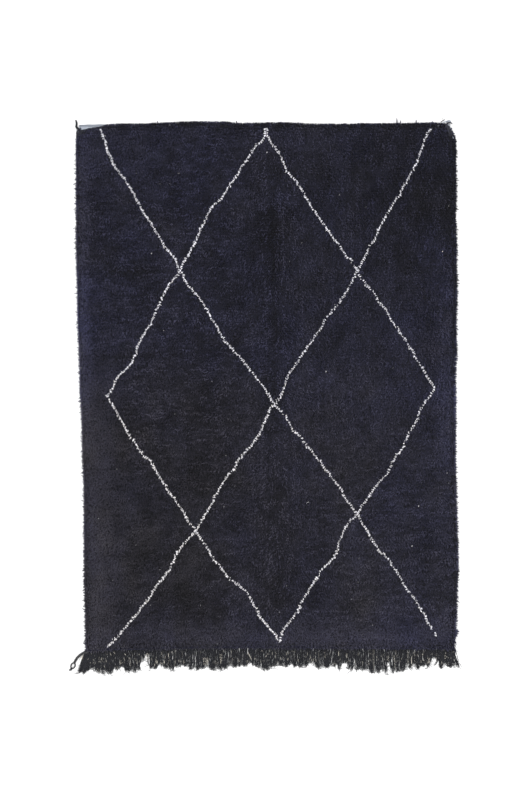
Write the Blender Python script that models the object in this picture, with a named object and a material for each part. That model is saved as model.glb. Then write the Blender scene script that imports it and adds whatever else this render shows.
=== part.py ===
"""Beni Ourain rug laid flat on the floor, as a Blender script.

A hand-knotted rug is woven in one: a ground weave that carries a thick wool pile, with the warp ends left as
a fringe. It is modelled here as four solids that lie side by side on the floor plane z = 0:

* pile_field: the ground weave and its pile, a lumpy slab with locks of wool at its rim;
* fringe: the warp ends, strands that stand apart and are fused at their roots into a narrow strip;
* corner_plait: the edge cord's plaited tail at the fringe's left end, with an eye before its knot;
* corner_tie: the loose end of the edge cord at the far left corner.

Metres, +Z up. +Y runs from the fringe to the plain end. The rug is built with y = 0 at the fringe end of the
cloth and x = 0 near its middle, and is then moved so that the origin is the centre of its box on the floor.
"""

import math
import random
from typing import NamedTuple

import bmesh
import bpy
from mathutils import Matrix, Vector, noise

SEED = 11
GAP = 0.0003  # between pieces that touch on the real rug
WELD = 0.00001

# The cloth: its length from fringe to plain end, the woven ground, and the wool that stands on it.
CLOTH_LENGTH = 2.372
GROUND_THICK = 0.004
PILE_TALL = 0.019
RIM_TALL = 0.010  # height at which the pile bulges furthest past the ground weave
RIM_TUCK = 0.007  # how far the ground weave lies inside that bulge
RIM_BUMP = 0.0028  # how far the rim wanders in and out
RIM_STEADY = (0.045, 0.10)  # distances from a corner where the rim starts to wander, and does so fully
RIM_STEPS = (0.0, 0.010, 0.024)  # grid lines beside each edge, where the pile rounds over

# Lumps in the pile, as (size across, rise).
BROAD_LUMPS = (0.150, 0.0032)
SMALL_LUMPS = (0.060, 0.0034)
WEFT_FURROWS = (0.042, 0.0022)  # rows of knots that part, drawn out along the weft
FURROW_STRETCH = 7.0
GRID_WANDER = 0.006  # how far grid points stray, so that the lumps follow no pattern

# The crease down the middle, where the rug was folded: its line, half width and depth.
CREASE_FAR_X = 0.030
CREASE_NEAR_X = 0.066
CREASE_HALF = 0.024
CREASE_DEPTH = 0.0045

# Number of grid cells between the rim steps: left of the crease, right of it, and along the cloth.
CELLS_LEFT = 21
CELLS_RIGHT = 20
CELLS_ALONG = 60

# Bare ground weave at the far end, where the pile starts short of the edge.
BARE_WEDGE_LONG = 0.130  # along the edge, from the left corner
BARE_WEDGE_DEEP = 0.019
WORN_CORNER_LONG = 0.018  # at the right corner, along the edge
WORN_CORNER_DEEP = 0.045
PILE_SHOULDER = 0.012  # over which the pile rises from bare ground to full height
WEDGE_END = 0.006  # the bare wedge's depth below which it fades out

# Locks of wool that stick out past the rim: the share of rim faces that grow one, and their reach.
LOCK_SHARE_SIDES = 0.50
LOCK_SHARE_FAR = 0.16
LOCK_REACH = (0.005, 0.011)
LOCK_TIP = 0.40  # width of a lock's tip over its root
LOCK_TIP_TALL = 0.005
LOCK_SWAY = 0.25  # how far a lock leans along the rim, over its width
LOOSE_END_ROOM = 0.03  # kept free of other locks on both sides of a loose end

# The fringe: strands of a few warp ends each, on the last picks of the weave.
STRIP_DEEP = 0.011
STRIP_TALL = 0.009
STRAND_COUNT = 144
STRAND_FILL = 0.80  # a strand's width at its root over the pitch
STRAND_VARY = 0.004  # how much strands of a clump differ in length
STRAND_STEPS = (0.0, 0.30, 0.72, 1.0)  # sections along a strand, root to tip
STRAND_BULGE = (1.0, 1.06, 0.86, 0.34)  # width over root width at each
STRAND_TALL = (0.009, 0.008, 0.006, 0.003)
STRAND_CURVE = 1.3  # how late along its length a strand swings sideways
CLUMP_SIZES = (2, 5)  # strands that lie together
CLUMP_VARY = 0.006  # how much clumps differ in length
CLUMP_CLOSE = 0.10  # how much a clump draws in towards its middle at the tips
PARTING_SPREAD = 2.0  # over how many of its widths a parting pushes strands aside
STRAND_CLOSEST = 0.0040  # the most that two neighbours' tips may draw together
LEFT_SPLAY = (0.040, 0.085)  # how far the left corner's tips swing outwards, and over what width
RIGHT_SPLAY = (0.012, 0.050)

# The plait at the near left corner: stem, eye and knot.
PLAIT_RADIUS = 0.0045
EYE_LONG = 0.0125  # half its length, along the middle of its cord
EYE_WIDE = 0.0090
EYE_CORD = 0.0027
KNOT_LONG = 0.020
KNOT_RADIUS = 0.0050
KNOT_TIP = 0.5  # the tail's thickness at its end over the knot's

# The tie at the far left corner.
TIE_RADIUS = 0.0040
TIE_TIP = 0.40  # its tip's thickness over its root's
TIE_STUB = 0.0045  # how far it leaves the rug squarely before it turns

WOOL_DARK = (0.022, 0.022, 0.033, 1.0)
WARP_DARK = (0.030, 0.031, 0.034, 1.0)
WOOL_ROUGHNESS = 0.95


class EdgeRow(NamedTuple):
    """A point of one of the cloth's edges."""

    at: float  # along the edge
    out: float  # the edge's place across, from x = 0 on the sides and from y = 0 on the ends


LEFT_EDGE = (
    EdgeRow(0.00, -0.814),
    EdgeRow(0.35, -0.821),
    EdgeRow(0.70, -0.822),
    EdgeRow(0.95, -0.830),
    EdgeRow(1.25, -0.842),
    EdgeRow(1.55, -0.851),
    EdgeRow(1.85, -0.857),
    EdgeRow(2.29, -0.858),
    EdgeRow(2.37, -0.841),
)
RIGHT_EDGE = (
    EdgeRow(0.00, 0.852),
    EdgeRow(0.35, 0.865),
    EdgeRow(0.65, 0.858),
    EdgeRow(1.10, 0.850),
    EdgeRow(1.60, 0.861),
    EdgeRow(2.00, 0.857),
    EdgeRow(2.28, 0.856),
    EdgeRow(2.37, 0.836),
)
FAR_EDGE = (
    EdgeRow(-0.86, 2.366),
    EdgeRow(-0.56, 2.373),
    EdgeRow(-0.32, 2.382),
    EdgeRow(-0.19, 2.381),
    EdgeRow(-0.12, 2.374),
    EdgeRow(0.05, 2.378),
    EdgeRow(0.24, 2.371),
    EdgeRow(0.60, 2.374),
    EdgeRow(0.75, 2.377),
    EdgeRow(0.86, 2.371),
)
NEAR_EDGE = (
    EdgeRow(-0.82, -0.009),
    EdgeRow(-0.66, -0.002),
    EdgeRow(-0.30, 0.005),
    EdgeRow(0.05, 0.007),
    EdgeRow(0.40, 0.003),
    EdgeRow(0.86, 0.001),
)
NEAR_EDGE_WAVE = 0.0006  # a slight unevenness along the fringe end
NEAR_EDGE_WAVE_LONG = 0.11
FRINGE_REACH = (
    EdgeRow(-0.82, 0.106),
    EdgeRow(-0.57, 0.104),
    EdgeRow(-0.50, 0.086),
    EdgeRow(-0.25, 0.087),
    EdgeRow(-0.15, 0.079),
    EdgeRow(0.30, 0.079),
    EdgeRow(0.45, 0.100),
    EdgeRow(0.64, 0.098),
    EdgeRow(0.86, 0.084),
)


class Parting(NamedTuple):
    """A place where the fringe parts and the floor shows."""

    at: float
    wide: float


PARTINGS = (
    Parting(-0.654, 0.022),
    Parting(-0.546, 0.034),
    Parting(-0.483, 0.015),
    Parting(-0.372, 0.018),
    Parting(-0.266, 0.014),
    Parting(-0.207, 0.006),
    Parting(-0.162, 0.013),
    Parting(-0.081, 0.012),
    Parting(0.086, 0.016),
    Parting(0.207, 0.015),
    Parting(0.356, 0.030),
    Parting(0.442, 0.014),
    Parting(0.550, 0.023),
    Parting(0.650, 0.014),
    Parting(0.760, 0.030),
)


class LooseEnd(NamedTuple):
    """A longer yarn end at the plain end of the rug."""

    x: float
    reach: float
    sway: float


LOOSE_ENDS = (
    LooseEnd(-0.490, 0.009, 0.000),
    LooseEnd(0.592, 0.026, -0.002),
    LooseEnd(0.679, 0.012, 0.000),
    LooseEnd(0.795, 0.019, 0.014),
)


class PathRow(NamedTuple):
    """A point of a loose cord's middle line, seen from above."""

    x: float
    y: float


# The plait's line from its root at the end of the fringe's strip, and the tie's line once it has left the rug.
PLAIT_PATH = (
    PathRow(0.000, 0.000),
    PathRow(-0.006, -0.001),
    PathRow(-0.021, -0.009),
    PathRow(-0.036, -0.022),
    PathRow(-0.046, -0.036),
    PathRow(-0.053, -0.050),
)
TIE_PATH = (
    PathRow(-0.8572, 2.3580),
    PathRow(-0.8562, 2.3665),
    PathRow(-0.8555, 2.3745),
    PathRow(-0.8568, 2.3820),
    PathRow(-0.8596, 2.3895),
)


def smooth(t):
    """The step from 0 to 1 with level ends, for t from 0 to 1."""
    t = min(1.0, max(0.0, t))
    return t * t * (3.0 - 2.0 * t)


def edge_at(table, along):
    """The edge's place at a distance along it, on a curve through the table's rows."""
    for low, high in zip(table, table[1:]):
        if along <= high.at or high is table[-1]:
            share = smooth((along - low.at) / (high.at - low.at))
            return low.out + (high.out - low.out) * share
    raise ValueError("an edge table needs two rows or more")


def near_edge_y(x):
    """Where the cloth ends at the fringe."""
    wave = NEAR_EDGE_WAVE * math.sin(2.0 * math.pi * x / NEAR_EDGE_WAVE_LONG)
    return edge_at(NEAR_EDGE, x) + wave


def crease_x(y):
    """The crease's line, which drifts a little across the rug."""
    return CREASE_NEAR_X + (CREASE_FAR_X - CREASE_NEAR_X) * y / CLOTH_LENGTH


def spaced(low, high, cells):
    """The points that part low to high into equal cells, both ends included."""
    return [low + (high - low) * k / cells for k in range(cells + 1)]


def column_xs(y):
    """The grid columns across the cloth at y: close at both rims and at the crease."""
    left, right, crease = edge_at(LEFT_EDGE, y), edge_at(RIGHT_EDGE, y), crease_x(y)
    xs = [left + step for step in RIM_STEPS[:-1]]
    xs += spaced(left + RIM_STEPS[-1], crease - CREASE_HALF, CELLS_LEFT)
    xs += [crease]
    xs += spaced(crease + CREASE_HALF, right - RIM_STEPS[-1], CELLS_RIGHT)
    xs += [right - step for step in reversed(RIM_STEPS[:-1])]
    return xs


def row_ys(x):
    """The grid rows along the cloth at x: close at both ends."""
    near, far = near_edge_y(x), edge_at(FAR_EDGE, x)
    ys = [near + step for step in RIM_STEPS[:-1]]
    ys += spaced(near + RIM_STEPS[-1], far - RIM_STEPS[-1], CELLS_ALONG)
    ys += [far - step for step in reversed(RIM_STEPS[:-1])]
    return ys


def lump(x, y, size, rise):
    """A soft bump field: rise is its height over features of that size."""
    return rise * noise.noise(Vector((x / size, y / size, SEED)))


def bare_ground(x, y):
    """How bare the ground weave is at the far end: 1 where no pile stands, 0 where it is full."""
    inside = edge_at(FAR_EDGE, x) - y
    from_left = x - edge_at(LEFT_EDGE, y)
    from_right = edge_at(RIGHT_EDGE, y) - x
    wedge = BARE_WEDGE_DEEP * max(0.0, 1.0 - from_left / BARE_WEDGE_LONG)
    left_end = (1.0 - smooth((inside - wedge) / PILE_SHOULDER)) * smooth(wedge / WEDGE_END)
    worn = from_right / WORN_CORNER_LONG + inside / WORN_CORNER_DEEP
    right_end = 1.0 - smooth((worn - 1.0) * WORN_CORNER_LONG / PILE_SHOULDER)
    return max(left_end, right_end)


def pile_top(x, y):
    """Height of the pile's top above the floor, away from the rim."""
    across = abs(x - crease_x(y)) / CREASE_HALF
    trough = CREASE_DEPTH * (1.0 - smooth(across))
    size, rise = WEFT_FURROWS
    furrow = lump(x / FURROW_STRETCH, y, size, rise)
    lumps = lump(x, y, *BROAD_LUMPS) + lump(x, y, *SMALL_LUMPS) + furrow
    tall = PILE_TALL + lumps - trough
    return GROUND_THICK + tall * (1.0 - bare_ground(x, y))


def rim_share(steps_in):
    """How much of its height the pile has, by the number of grid lines in from the edge."""
    if steps_in >= len(RIM_STEPS):
        return 1.0
    lines = (RIM_TALL / (GROUND_THICK + PILE_TALL), 0.84, 0.96)
    return lines[steps_in]


def make_material(name, colour):
    """A matt wool finish of one colour."""
    material = bpy.data.materials.new(name)
    material.use_nodes = True
    shader = material.node_tree.nodes["Principled BSDF"]
    shader.inputs["Base Color"].default_value = colour
    shader.inputs["Roughness"].default_value = WOOL_ROUGHNESS
    shader.inputs["Metallic"].default_value = 0.0
    return material


def add_object(name, bm, material, collection):
    """The finished bmesh as an object in the rug's collection."""
    mesh = bpy.data.meshes.new(name)
    bmesh.ops.recalc_face_normals(bm, faces=bm.faces)
    bmesh.ops.triangulate(bm, faces=bm.faces, quad_method="SHORT_EDGE", ngon_method="BEAUTY")
    bm.to_mesh(mesh)
    bm.free()
    mesh.materials.append(material)
    obj = bpy.data.objects.new(name, mesh)
    collection.objects.link(obj)
    return obj


def last_column():
    """The number of the grid's last column."""
    return len(column_xs(0.0)) - 1


def last_row():
    """The number of the grid's last row."""
    return len(row_ys(0.0)) - 1


def grid_point(i, j):
    """Where a grid point lies on the floor, before any unevenness."""
    y = CLOTH_LENGTH * j / last_row()
    y = row_ys(column_xs(y)[i])[j]
    return column_xs(y)[i], y


def crease_columns():
    """The numbers of the three grid columns that draw the crease."""
    middle = len(RIM_STEPS) - 1 + CELLS_LEFT + 1
    return (middle - 1, middle, middle + 1)


def rim_freedom(x, y):
    """How free a point of the rim is to wander: 0 near the rug's corners, 1 away from them."""
    across = min(x - edge_at(LEFT_EDGE, y), edge_at(RIGHT_EDGE, y) - x)
    along = min(y - near_edge_y(x), edge_at(FAR_EDGE, x) - y)
    start, full = RIM_STEADY
    return smooth((math.hypot(across, along) - start) / (full - start))


def spot(vert):
    """A point's place as a key, which outlives the editing of the mesh around it."""
    return vert.co.copy().freeze()


def wander_rim(vert, place, rng):
    """Moves a point of the rim in or out a little, but not at the fringe end."""
    i, j = place
    bump = RIM_BUMP * rng.uniform(-1.0, 1.0) * rim_freedom(vert.co.x, vert.co.y)
    vert.co.x += bump * ((i == last_column()) - (i == 0))
    vert.co.y += bump * (j == last_row())


def lay_pile_grid(rng):
    """A grid over the cloth that carries the pile's lumps, and the column and row of each of its points."""
    columns, rows = last_column(), last_row()
    bm = bmesh.new()
    bmesh.ops.create_grid(bm, x_segments=columns, y_segments=rows, size=1.0)
    places = {}
    for vert in bm.verts:
        i = round((vert.co.x + 1.0) / 2.0 * columns)
        j = round((vert.co.y + 1.0) / 2.0 * rows)
        x, y = grid_point(i, j)
        steps_in = min(i, j, columns - i, rows - j)
        if steps_in >= len(RIM_STEPS) and i not in crease_columns():
            x += GRID_WANDER * rng.uniform(-1.0, 1.0)
            y += GRID_WANDER * rng.uniform(-1.0, 1.0)
        vert.co = (x, y, max(GROUND_THICK, pile_top(x, y) * rim_share(steps_in)))
        places[spot(vert)] = (i, j)
    return bm, places


def split_rim(bm, places, rng):
    """Halves the rim's stretches away from the fringe, lets them wander, and tells each rim point's place."""
    rim = [edge for edge in bm.edges if edge.is_boundary]
    rim = [edge for edge in rim if any(places[spot(vert)][1] > 0 for vert in edge.verts)]
    bmesh.ops.subdivide_edges(bm, edges=rim, cuts=1)
    placed = []
    for vert in (vert for vert in bm.verts if vert.is_boundary):
        place = places.get(spot(vert))
        if place is None:
            sides = [edge.other_vert(vert) for edge in vert.link_edges if edge.is_boundary]
            (i0, j0), (i1, j1) = (places[spot(side)] for side in sides)
            place = ((i0 + i1) / 2.0, (j0 + j1) / 2.0)
        placed.append((place, vert))
    for place, vert in sorted(placed, key=lambda pair: pair[0]):
        wander_rim(vert, place, rng)
    return {spot(vert): place for place, vert in placed}


def add_skirt(bm, rim_places):
    """Brings the rim down to the floor, tucked in but upright at the fringe, and closes the underside."""
    rim = [edge for edge in bm.edges if edge.is_boundary]
    made = bmesh.ops.extrude_edge_only(bm, edges=rim)["geom"]
    for vert in (part for part in made if isinstance(part, bmesh.types.BMVert)):
        i, j = rim_places[spot(vert)]
        vert.co.x += RIM_TUCK * ((i == 0) - (i == last_column()))
        vert.co.y -= RIM_TUCK * (j == last_row())
        vert.co.z = 0.0
    walls = [part for part in made if isinstance(part, bmesh.types.BMFace)]
    hem = [part for part in made if isinstance(part, bmesh.types.BMEdge) and part.is_boundary]
    bmesh.ops.edgeloop_fill(bm, edges=hem)
    return sorted(walls, key=lambda wall: tuple(round(c, 6) for c in wall.calc_center_median()))


def pull_lock(bm, wall, push):
    """Draws one wall face of the rim out into a lock of wool that rests level on the floor."""
    middle = wall.calc_center_median()
    end = bmesh.ops.extrude_discrete_faces(bm, faces=[wall])["faces"][0]
    for vert in end.verts:
        low = vert.co.z < middle.z
        vert.co = middle + (vert.co - middle) * LOCK_TIP + push
        vert.co.z = 0.0 if low else LOCK_TIP_TALL


def add_locks(bm, walls, rng):
    """Locks at the rim: short ones along the sides and the far end, and the few loose ends that show."""
    near_side, far_side = [], []
    for wall in walls:
        middle = wall.calc_center_median()
        if rim_freedom(middle.x, middle.y) > 0.0:
            at_far_end = middle.y > edge_at(FAR_EDGE, middle.x) - RIM_STEPS[1]
            at_fringe = middle.y < near_edge_y(middle.x) + RIM_STEPS[1]
            if at_far_end:
                far_side.append(wall)
            elif not at_fringe:
                near_side.append(wall)
    for end in LOOSE_ENDS:
        wall = min(far_side, key=lambda w: abs(w.calc_center_median().x - end.x))
        far_side = [w for w in far_side if abs(w.calc_center_median().x - end.x) > LOOSE_END_ROOM]
        pull_lock(bm, wall, Vector((end.sway, end.reach, 0.0)))
    for wall in near_side:
        if rng.random() < LOCK_SHARE_SIDES:
            side = math.copysign(1.0, wall.calc_center_median().x)
            width = max(edge.calc_length() for edge in wall.edges)
            sway = LOCK_SWAY * width * rng.uniform(-1.0, 1.0)
            pull_lock(bm, wall, Vector((side * rng.uniform(*LOCK_REACH), sway, 0.0)))
    for wall in far_side:
        middle = wall.calc_center_median()
        if rng.random() < LOCK_SHARE_FAR and bare_ground(middle.x, middle.y) == 0.0:
            pull_lock(bm, wall, Vector((0.0, rng.uniform(*LOCK_REACH), 0.0)))


def build_pile_field(collection):
    """The ground weave and its pile, with a flat underside."""
    rng = random.Random(SEED)
    bm, places = lay_pile_grid(rng)
    rim_places = split_rim(bm, places, rng)
    walls = add_skirt(bm, rim_places)
    add_locks(bm, walls, rng)
    return add_object("pile_field", bm, make_material("pile_wool", WOOL_DARK), collection)


def cloth_end_polyline():
    """The straight stretches that the pile field's fringe end is made of, as (x, y) points."""
    return [grid_point(i, 0) for i in range(last_column() + 1)]


def on_polyline(points, x):
    """y on the straight stretches at x, held at the ends."""
    for (x0, y0), (x1, y1) in zip(points, points[1:]):
        if x <= x1:
            return y0 + (y1 - y0) * max(0.0, (x - x0) / (x1 - x0))
    return points[-1][1]


class Strand(NamedTuple):
    """One strand of the fringe: its root's middle and half width, how far it reaches, and its tip's swing."""

    root: float
    half: float
    reach: float
    swing: float


def corner_splay(from_corner, splay):
    """How far a strand's tip swings outwards at the fringe's end, by its distance from that end."""
    swing, wide = splay
    return swing * (1.0 - smooth(from_corner / wide))


def parted(x):
    """How far the fringe's partings push a tip aside at x."""
    push = 0.0
    for parting in PARTINGS:
        away = x - parting.at
        share = max(0.0, 1.0 - abs(away) / (PARTING_SPREAD * parting.wide))
        push += math.copysign(parting.wide / 2.0, away) * share
    return push


def plan_strands(left, right, rng):
    """Strands across the fringe, in clumps that share a length, pushed aside at the partings and the ends."""
    pitch = (right - left) / STRAND_COUNT
    strands = []
    while len(strands) < STRAND_COUNT:
        size = min(rng.randint(*CLUMP_SIZES), STRAND_COUNT - len(strands))
        middle = left + pitch * (len(strands) + size / 2.0)
        clump_reach = rng.uniform(-CLUMP_VARY, CLUMP_VARY)
        for _ in range(size):
            root = left + pitch * (len(strands) + 0.5)
            reach = edge_at(FRINGE_REACH, root) + clump_reach + rng.uniform(-STRAND_VARY, STRAND_VARY)
            swing = CLUMP_CLOSE * (middle - root) + parted(root)
            swing += corner_splay(right - root, RIGHT_SPLAY) - corner_splay(root - left, LEFT_SPLAY)
            if strands:
                swing = max(swing, strands[-1].swing - STRAND_CLOSEST)
            strands.append(Strand(root, pitch * STRAND_FILL / 2.0, reach, swing))
    return strands


def build_strip(strands, left, right, cloth_end):
    """The strip that holds the strands' roots, and its front face for each strand."""
    cuts = [left]
    for strand in strands:
        cuts += [strand.root - strand.half, strand.root + strand.half]
    cuts += [right]
    bm = bmesh.new()
    cells = len(cuts) - 1
    bmesh.ops.create_grid(bm, x_segments=cells, y_segments=1, size=1.0)
    for vert in bm.verts:
        k = round((vert.co.x + 1.0) / 2.0 * cells)
        back = on_polyline(cloth_end, cuts[k]) - GAP
        vert.co = (cuts[k], back - STRIP_DEEP, STRIP_TALL if vert.co.y > 0.0 else 0.0)
    fronts = sorted(bm.faces, key=lambda face: face.calc_center_median().x)[1::2]
    made = bmesh.ops.extrude_face_region(bm, geom=bm.faces[:], use_keep_orig=True)["geom"]
    for vert in (g for g in made if isinstance(g, bmesh.types.BMVert)):
        vert.co.y += STRIP_DEEP
    return bm, fronts


def draw_strand(bm, face, strand):
    """Draws one strand out of its root face, level on the floor all the way."""
    root_y = face.calc_center_median().y
    for step, tall, bulge in zip(STRAND_STEPS[1:], STRAND_TALL[1:], STRAND_BULGE[1:]):
        middle = face.calc_center_median()
        x = strand.root + strand.swing * step**STRAND_CURVE
        y = root_y + (-strand.reach - root_y) * step
        face = bmesh.ops.extrude_discrete_faces(bm, faces=[face])["faces"][0]
        for vert in face.verts:
            side = math.copysign(strand.half * bulge, vert.co.x - middle.x)
            vert.co = (x + side, y, 0.0 if vert.co.z < middle.z else tall)


def build_fringe(collection):
    """The fringe as one solid: the strip along the cloth's end and the strands that leave it."""
    rng = random.Random(SEED + 1)
    cloth_end = cloth_end_polyline()
    left, right = cloth_end[0][0], cloth_end[-1][0]
    strands = plan_strands(left, right, rng)
    bm, fronts = build_strip(strands, left, right, cloth_end)
    for face, strand in zip(fronts, strands):
        draw_strand(bm, face, strand)
    return add_object("fringe", bm, make_material("warp_yarn", WARP_DARK), collection)


def cord_mesh(points, root_radius, tip_radius):
    """A tapered cord that rests on the floor, as a bmesh, from a bevelled poly curve with welded caps."""
    curve = bpy.data.curves.new("cord", "CURVE")
    curve.dimensions = "3D"
    curve.bevel_depth = 1.0
    curve.bevel_resolution = 2
    curve.use_fill_caps = True
    spline = curve.splines.new("POLY")
    spline.points.add(len(points) - 1)
    for k, (place, point) in enumerate(zip(spline.points, points)):
        place.radius = root_radius + (tip_radius - root_radius) * k / (len(points) - 1)
        place.co = (point.x, point.y, place.radius, 1.0)
    holder = bpy.data.objects.new("cord", curve)
    bpy.context.scene.collection.objects.link(holder)
    bpy.context.view_layer.update()
    graph = bpy.context.evaluated_depsgraph_get()
    mesh = bpy.data.meshes.new_from_object(holder.evaluated_get(graph))
    bpy.data.objects.remove(holder)
    bm = bmesh.new()
    bm.from_mesh(mesh)
    bpy.data.meshes.remove(mesh)
    bmesh.ops.remove_doubles(bm, verts=bm.verts, dist=WELD)
    return bm


def smooth_line(points, per_span=3):
    """Points read from a smooth curve through the given ones, both ends included."""
    ends = [points[0] * 2 - points[1], *points, points[-1] * 2 - points[-2]]
    line = []
    for a, b, c, d in zip(ends, ends[1:], ends[2:], ends[3:]):
        for k in range(per_span):
            t = k / per_span
            line.append(
                b
                + (c - a) * (t / 2.0)
                + (a * 2 - b * 5 + c * 4 - d) * (t * t / 2.0)
                + (b * 3 - a - c * 3 + d) * (t**3 / 2.0)
            )
    return [*line, points[-1]]


def join_by_union(target, others):
    """Joins the other objects to the target with Boolean unions, applied, and removes them."""
    for other in others:
        union = target.modifiers.new("join", "BOOLEAN")
        union.operation = "UNION"
        union.solver = "EXACT"
        union.object = other
        bpy.context.view_layer.update()
        graph = bpy.context.evaluated_depsgraph_get()
        joined = bpy.data.meshes.new_from_object(target.evaluated_get(graph))
        target.modifiers.clear()
        target.data = joined
        bpy.data.objects.remove(other)
    return target


def eye_ring(collection, centre, heading, material):
    """The plait's eye: an oval ring that lies on the floor along the plait's heading."""
    bpy.ops.mesh.primitive_torus_add(
        major_radius=1.0,
        minor_radius=EYE_CORD / EYE_LONG,
        major_segments=16,
        minor_segments=8,
    )
    ring = bpy.context.object
    ring.name = "eye"
    for owner in list(ring.users_collection):
        owner.objects.unlink(ring)
    collection.objects.link(ring)
    ring.data.materials.append(material)
    turn = heading.to_track_quat("X", "Z").to_matrix().to_4x4()
    size = Matrix.Diagonal((EYE_LONG, EYE_WIDE, EYE_LONG, 1.0))
    ring.data.transform(Matrix.Translation(centre) @ turn @ size)
    return ring


def build_corner_plait(collection):
    """The plaited tail at the fringe's left end: stem, eye and knot, joined into one solid."""
    material = make_material("plait_yarn", WARP_DARK)
    end_x, end_y = cloth_end_polyline()[0]
    root = Vector((end_x - GAP, end_y - GAP - STRIP_DEEP / 2.0, 0.0))
    line = smooth_line([root + Vector((row.x, row.y, 0.0)) for row in PLAIT_PATH])
    plait = add_object("corner_plait", cord_mesh(line, PLAIT_RADIUS, PLAIT_RADIUS), material, collection)
    heading = (line[-1] - line[-2]).normalized()
    eye = line[-1] + heading * (EYE_LONG - EYE_CORD / 2.0)
    ring = eye_ring(collection, eye + Vector((0.0, 0.0, EYE_CORD)), heading, material)
    knot_line = [eye + heading * (EYE_LONG - EYE_CORD + KNOT_LONG * share) for share in (0.0, 0.4, 1.0)]
    knot = add_object("knot", cord_mesh(knot_line, KNOT_RADIUS, KNOT_RADIUS * KNOT_TIP), material, collection)
    return join_by_union(plait, [ring, knot])


def build_corner_tie(collection):
    """The edge cord's loose end at the far left corner, which leaves the rug squarely and then turns."""
    low, high = (Vector((*grid_point(0, last_row() - back), 0.0)) for back in (2, 1))
    along = (high - low).normalized()
    outwards = Vector((-along.y, along.x, 0.0))
    root = (low + high) / 2.0 + outwards * GAP
    turn = [root + outwards * TIE_STUB] + [Vector((row.x, row.y, 0.0)) for row in TIE_PATH]
    bm = cord_mesh([root, *smooth_line(turn)], TIE_RADIUS, TIE_RADIUS * TIE_TIP)
    return add_object("corner_tie", bm, make_material("tie_yarn", WARP_DARK), collection)


def centre_on_floor(objects):
    """Moves the meshes so that the origin is the centre of their common box, on the floor."""
    corners = [v.co for obj in objects for v in obj.data.vertices]
    low = Vector([min(c[k] for c in corners) for k in range(3)])
    high = Vector([max(c[k] for c in corners) for k in range(3)])
    shift = Vector((-(low.x + high.x) / 2.0, -(low.y + high.y) / 2.0, 0.0))
    for obj in objects:
        obj.location = shift


def main():
    """Builds the rug's solids in a collection of their own."""
    for obj in list(bpy.data.objects):
        bpy.data.objects.remove(obj)
    collection = bpy.data.collections.new("beni_ourain_rug")
    bpy.context.scene.collection.children.link(collection)
    makers = (build_pile_field, build_fringe, build_corner_plait, build_corner_tie)
    centre_on_floor([make(collection) for make in makers])


if __name__ == "__main__":
    main()
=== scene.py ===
"""The looks of a dark Beni Ourain rug that lies on a pale floor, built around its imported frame.

Everything is in metres and in the frame's own axes: +Z up, +Y from the fringe to the plain end. The cloth
has a drawing of its own, with y = 0 at its fringe end and x = 0 near its middle, in which the edge tables
and the paths of the loose cords are written. Cloth.place turns it into the frame's axes.

Every yarn of the rug, from the pile to the fringe, is a row of numbers in a Yarns batch. One Geometry Nodes
tree turns a batch into a mesh: it sets a slim cone on each root and bends it along the row's own curve.
"""

from __future__ import annotations

import logging
import math
from dataclasses import dataclass, fields
from enum import Enum
from typing import NamedTuple, Sequence

import bmesh
import bpy
import numpy as np
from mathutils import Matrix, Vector, noise
from mathutils.bvhtree import BVHTree


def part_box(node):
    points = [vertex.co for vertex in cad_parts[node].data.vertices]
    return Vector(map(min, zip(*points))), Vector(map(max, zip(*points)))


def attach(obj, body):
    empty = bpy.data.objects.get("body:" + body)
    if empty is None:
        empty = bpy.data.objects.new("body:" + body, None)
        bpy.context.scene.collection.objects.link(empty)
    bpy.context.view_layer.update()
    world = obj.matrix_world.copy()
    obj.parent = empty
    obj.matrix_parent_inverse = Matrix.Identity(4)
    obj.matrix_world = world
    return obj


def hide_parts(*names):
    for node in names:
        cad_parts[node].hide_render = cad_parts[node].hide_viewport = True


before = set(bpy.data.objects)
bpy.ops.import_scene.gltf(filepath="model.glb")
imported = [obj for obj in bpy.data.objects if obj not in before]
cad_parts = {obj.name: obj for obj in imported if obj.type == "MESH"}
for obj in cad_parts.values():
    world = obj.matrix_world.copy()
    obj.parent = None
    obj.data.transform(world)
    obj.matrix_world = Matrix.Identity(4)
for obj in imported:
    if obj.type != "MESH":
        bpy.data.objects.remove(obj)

LOG = logging.getLogger("rug")
BODY = "root"

Array = np.ndarray
Random = np.random.Generator
Pair = tuple[float, float]
Colour = tuple[float, float, float]
Piece = bpy.types.Object
Material = bpy.types.Material
Socket = bpy.types.NodeSocket

UP = np.array([0.0, 0.0, 1.0])
BARE = 0.5  # how bare the ground is where no knot is tied
CORD_ALONG = 0.9  # how far out of the painted root shade a cord lies, 1 being a yarn's tip


class Slot(Enum):
    """The record's finishes."""

    PILE = "pile_wool"
    WARP = "warp_yarn"
    IVORY = "ivory_wool"
    GROUND = "ground_weave"


class Seed(Enum):
    """Fixed seeds, one for each kind of yarn."""

    KNOTS = 11
    LATTICE = 12
    RIM = 14
    FRINGE = 15
    HEM = 16
    ENDS = 111
    BED = 211

    def source(self) -> Random:
        """A fresh random source."""
        return np.random.default_rng(self.value)


class Layer(Enum):
    """Which of many random fields is read."""

    BROAD_NAP = 1.5
    SMALL_NAP = 2.5
    UPRIGHT = 3.5
    LEVEL = 4.5
    SMALL_WARMTH = 5.5
    FURROWS = 6.5
    SMALL_LIGHT = 7.5
    GROUND = SMALL_LIGHT
    BROAD_LIGHT = 8.5
    BROAD_WARMTH = 9.5
    RIM = 11.5
    LATTICE = 12.5


def rows(kind: type, *values: tuple) -> tuple:
    """A table of one kind of row, each given as its columns' values."""
    return tuple(kind(*row) for row in values)


class EdgeRow(NamedTuple):
    """A point of one of the cloth's edges, in the cloth's own drawing."""

    at: float
    out: float


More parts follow.
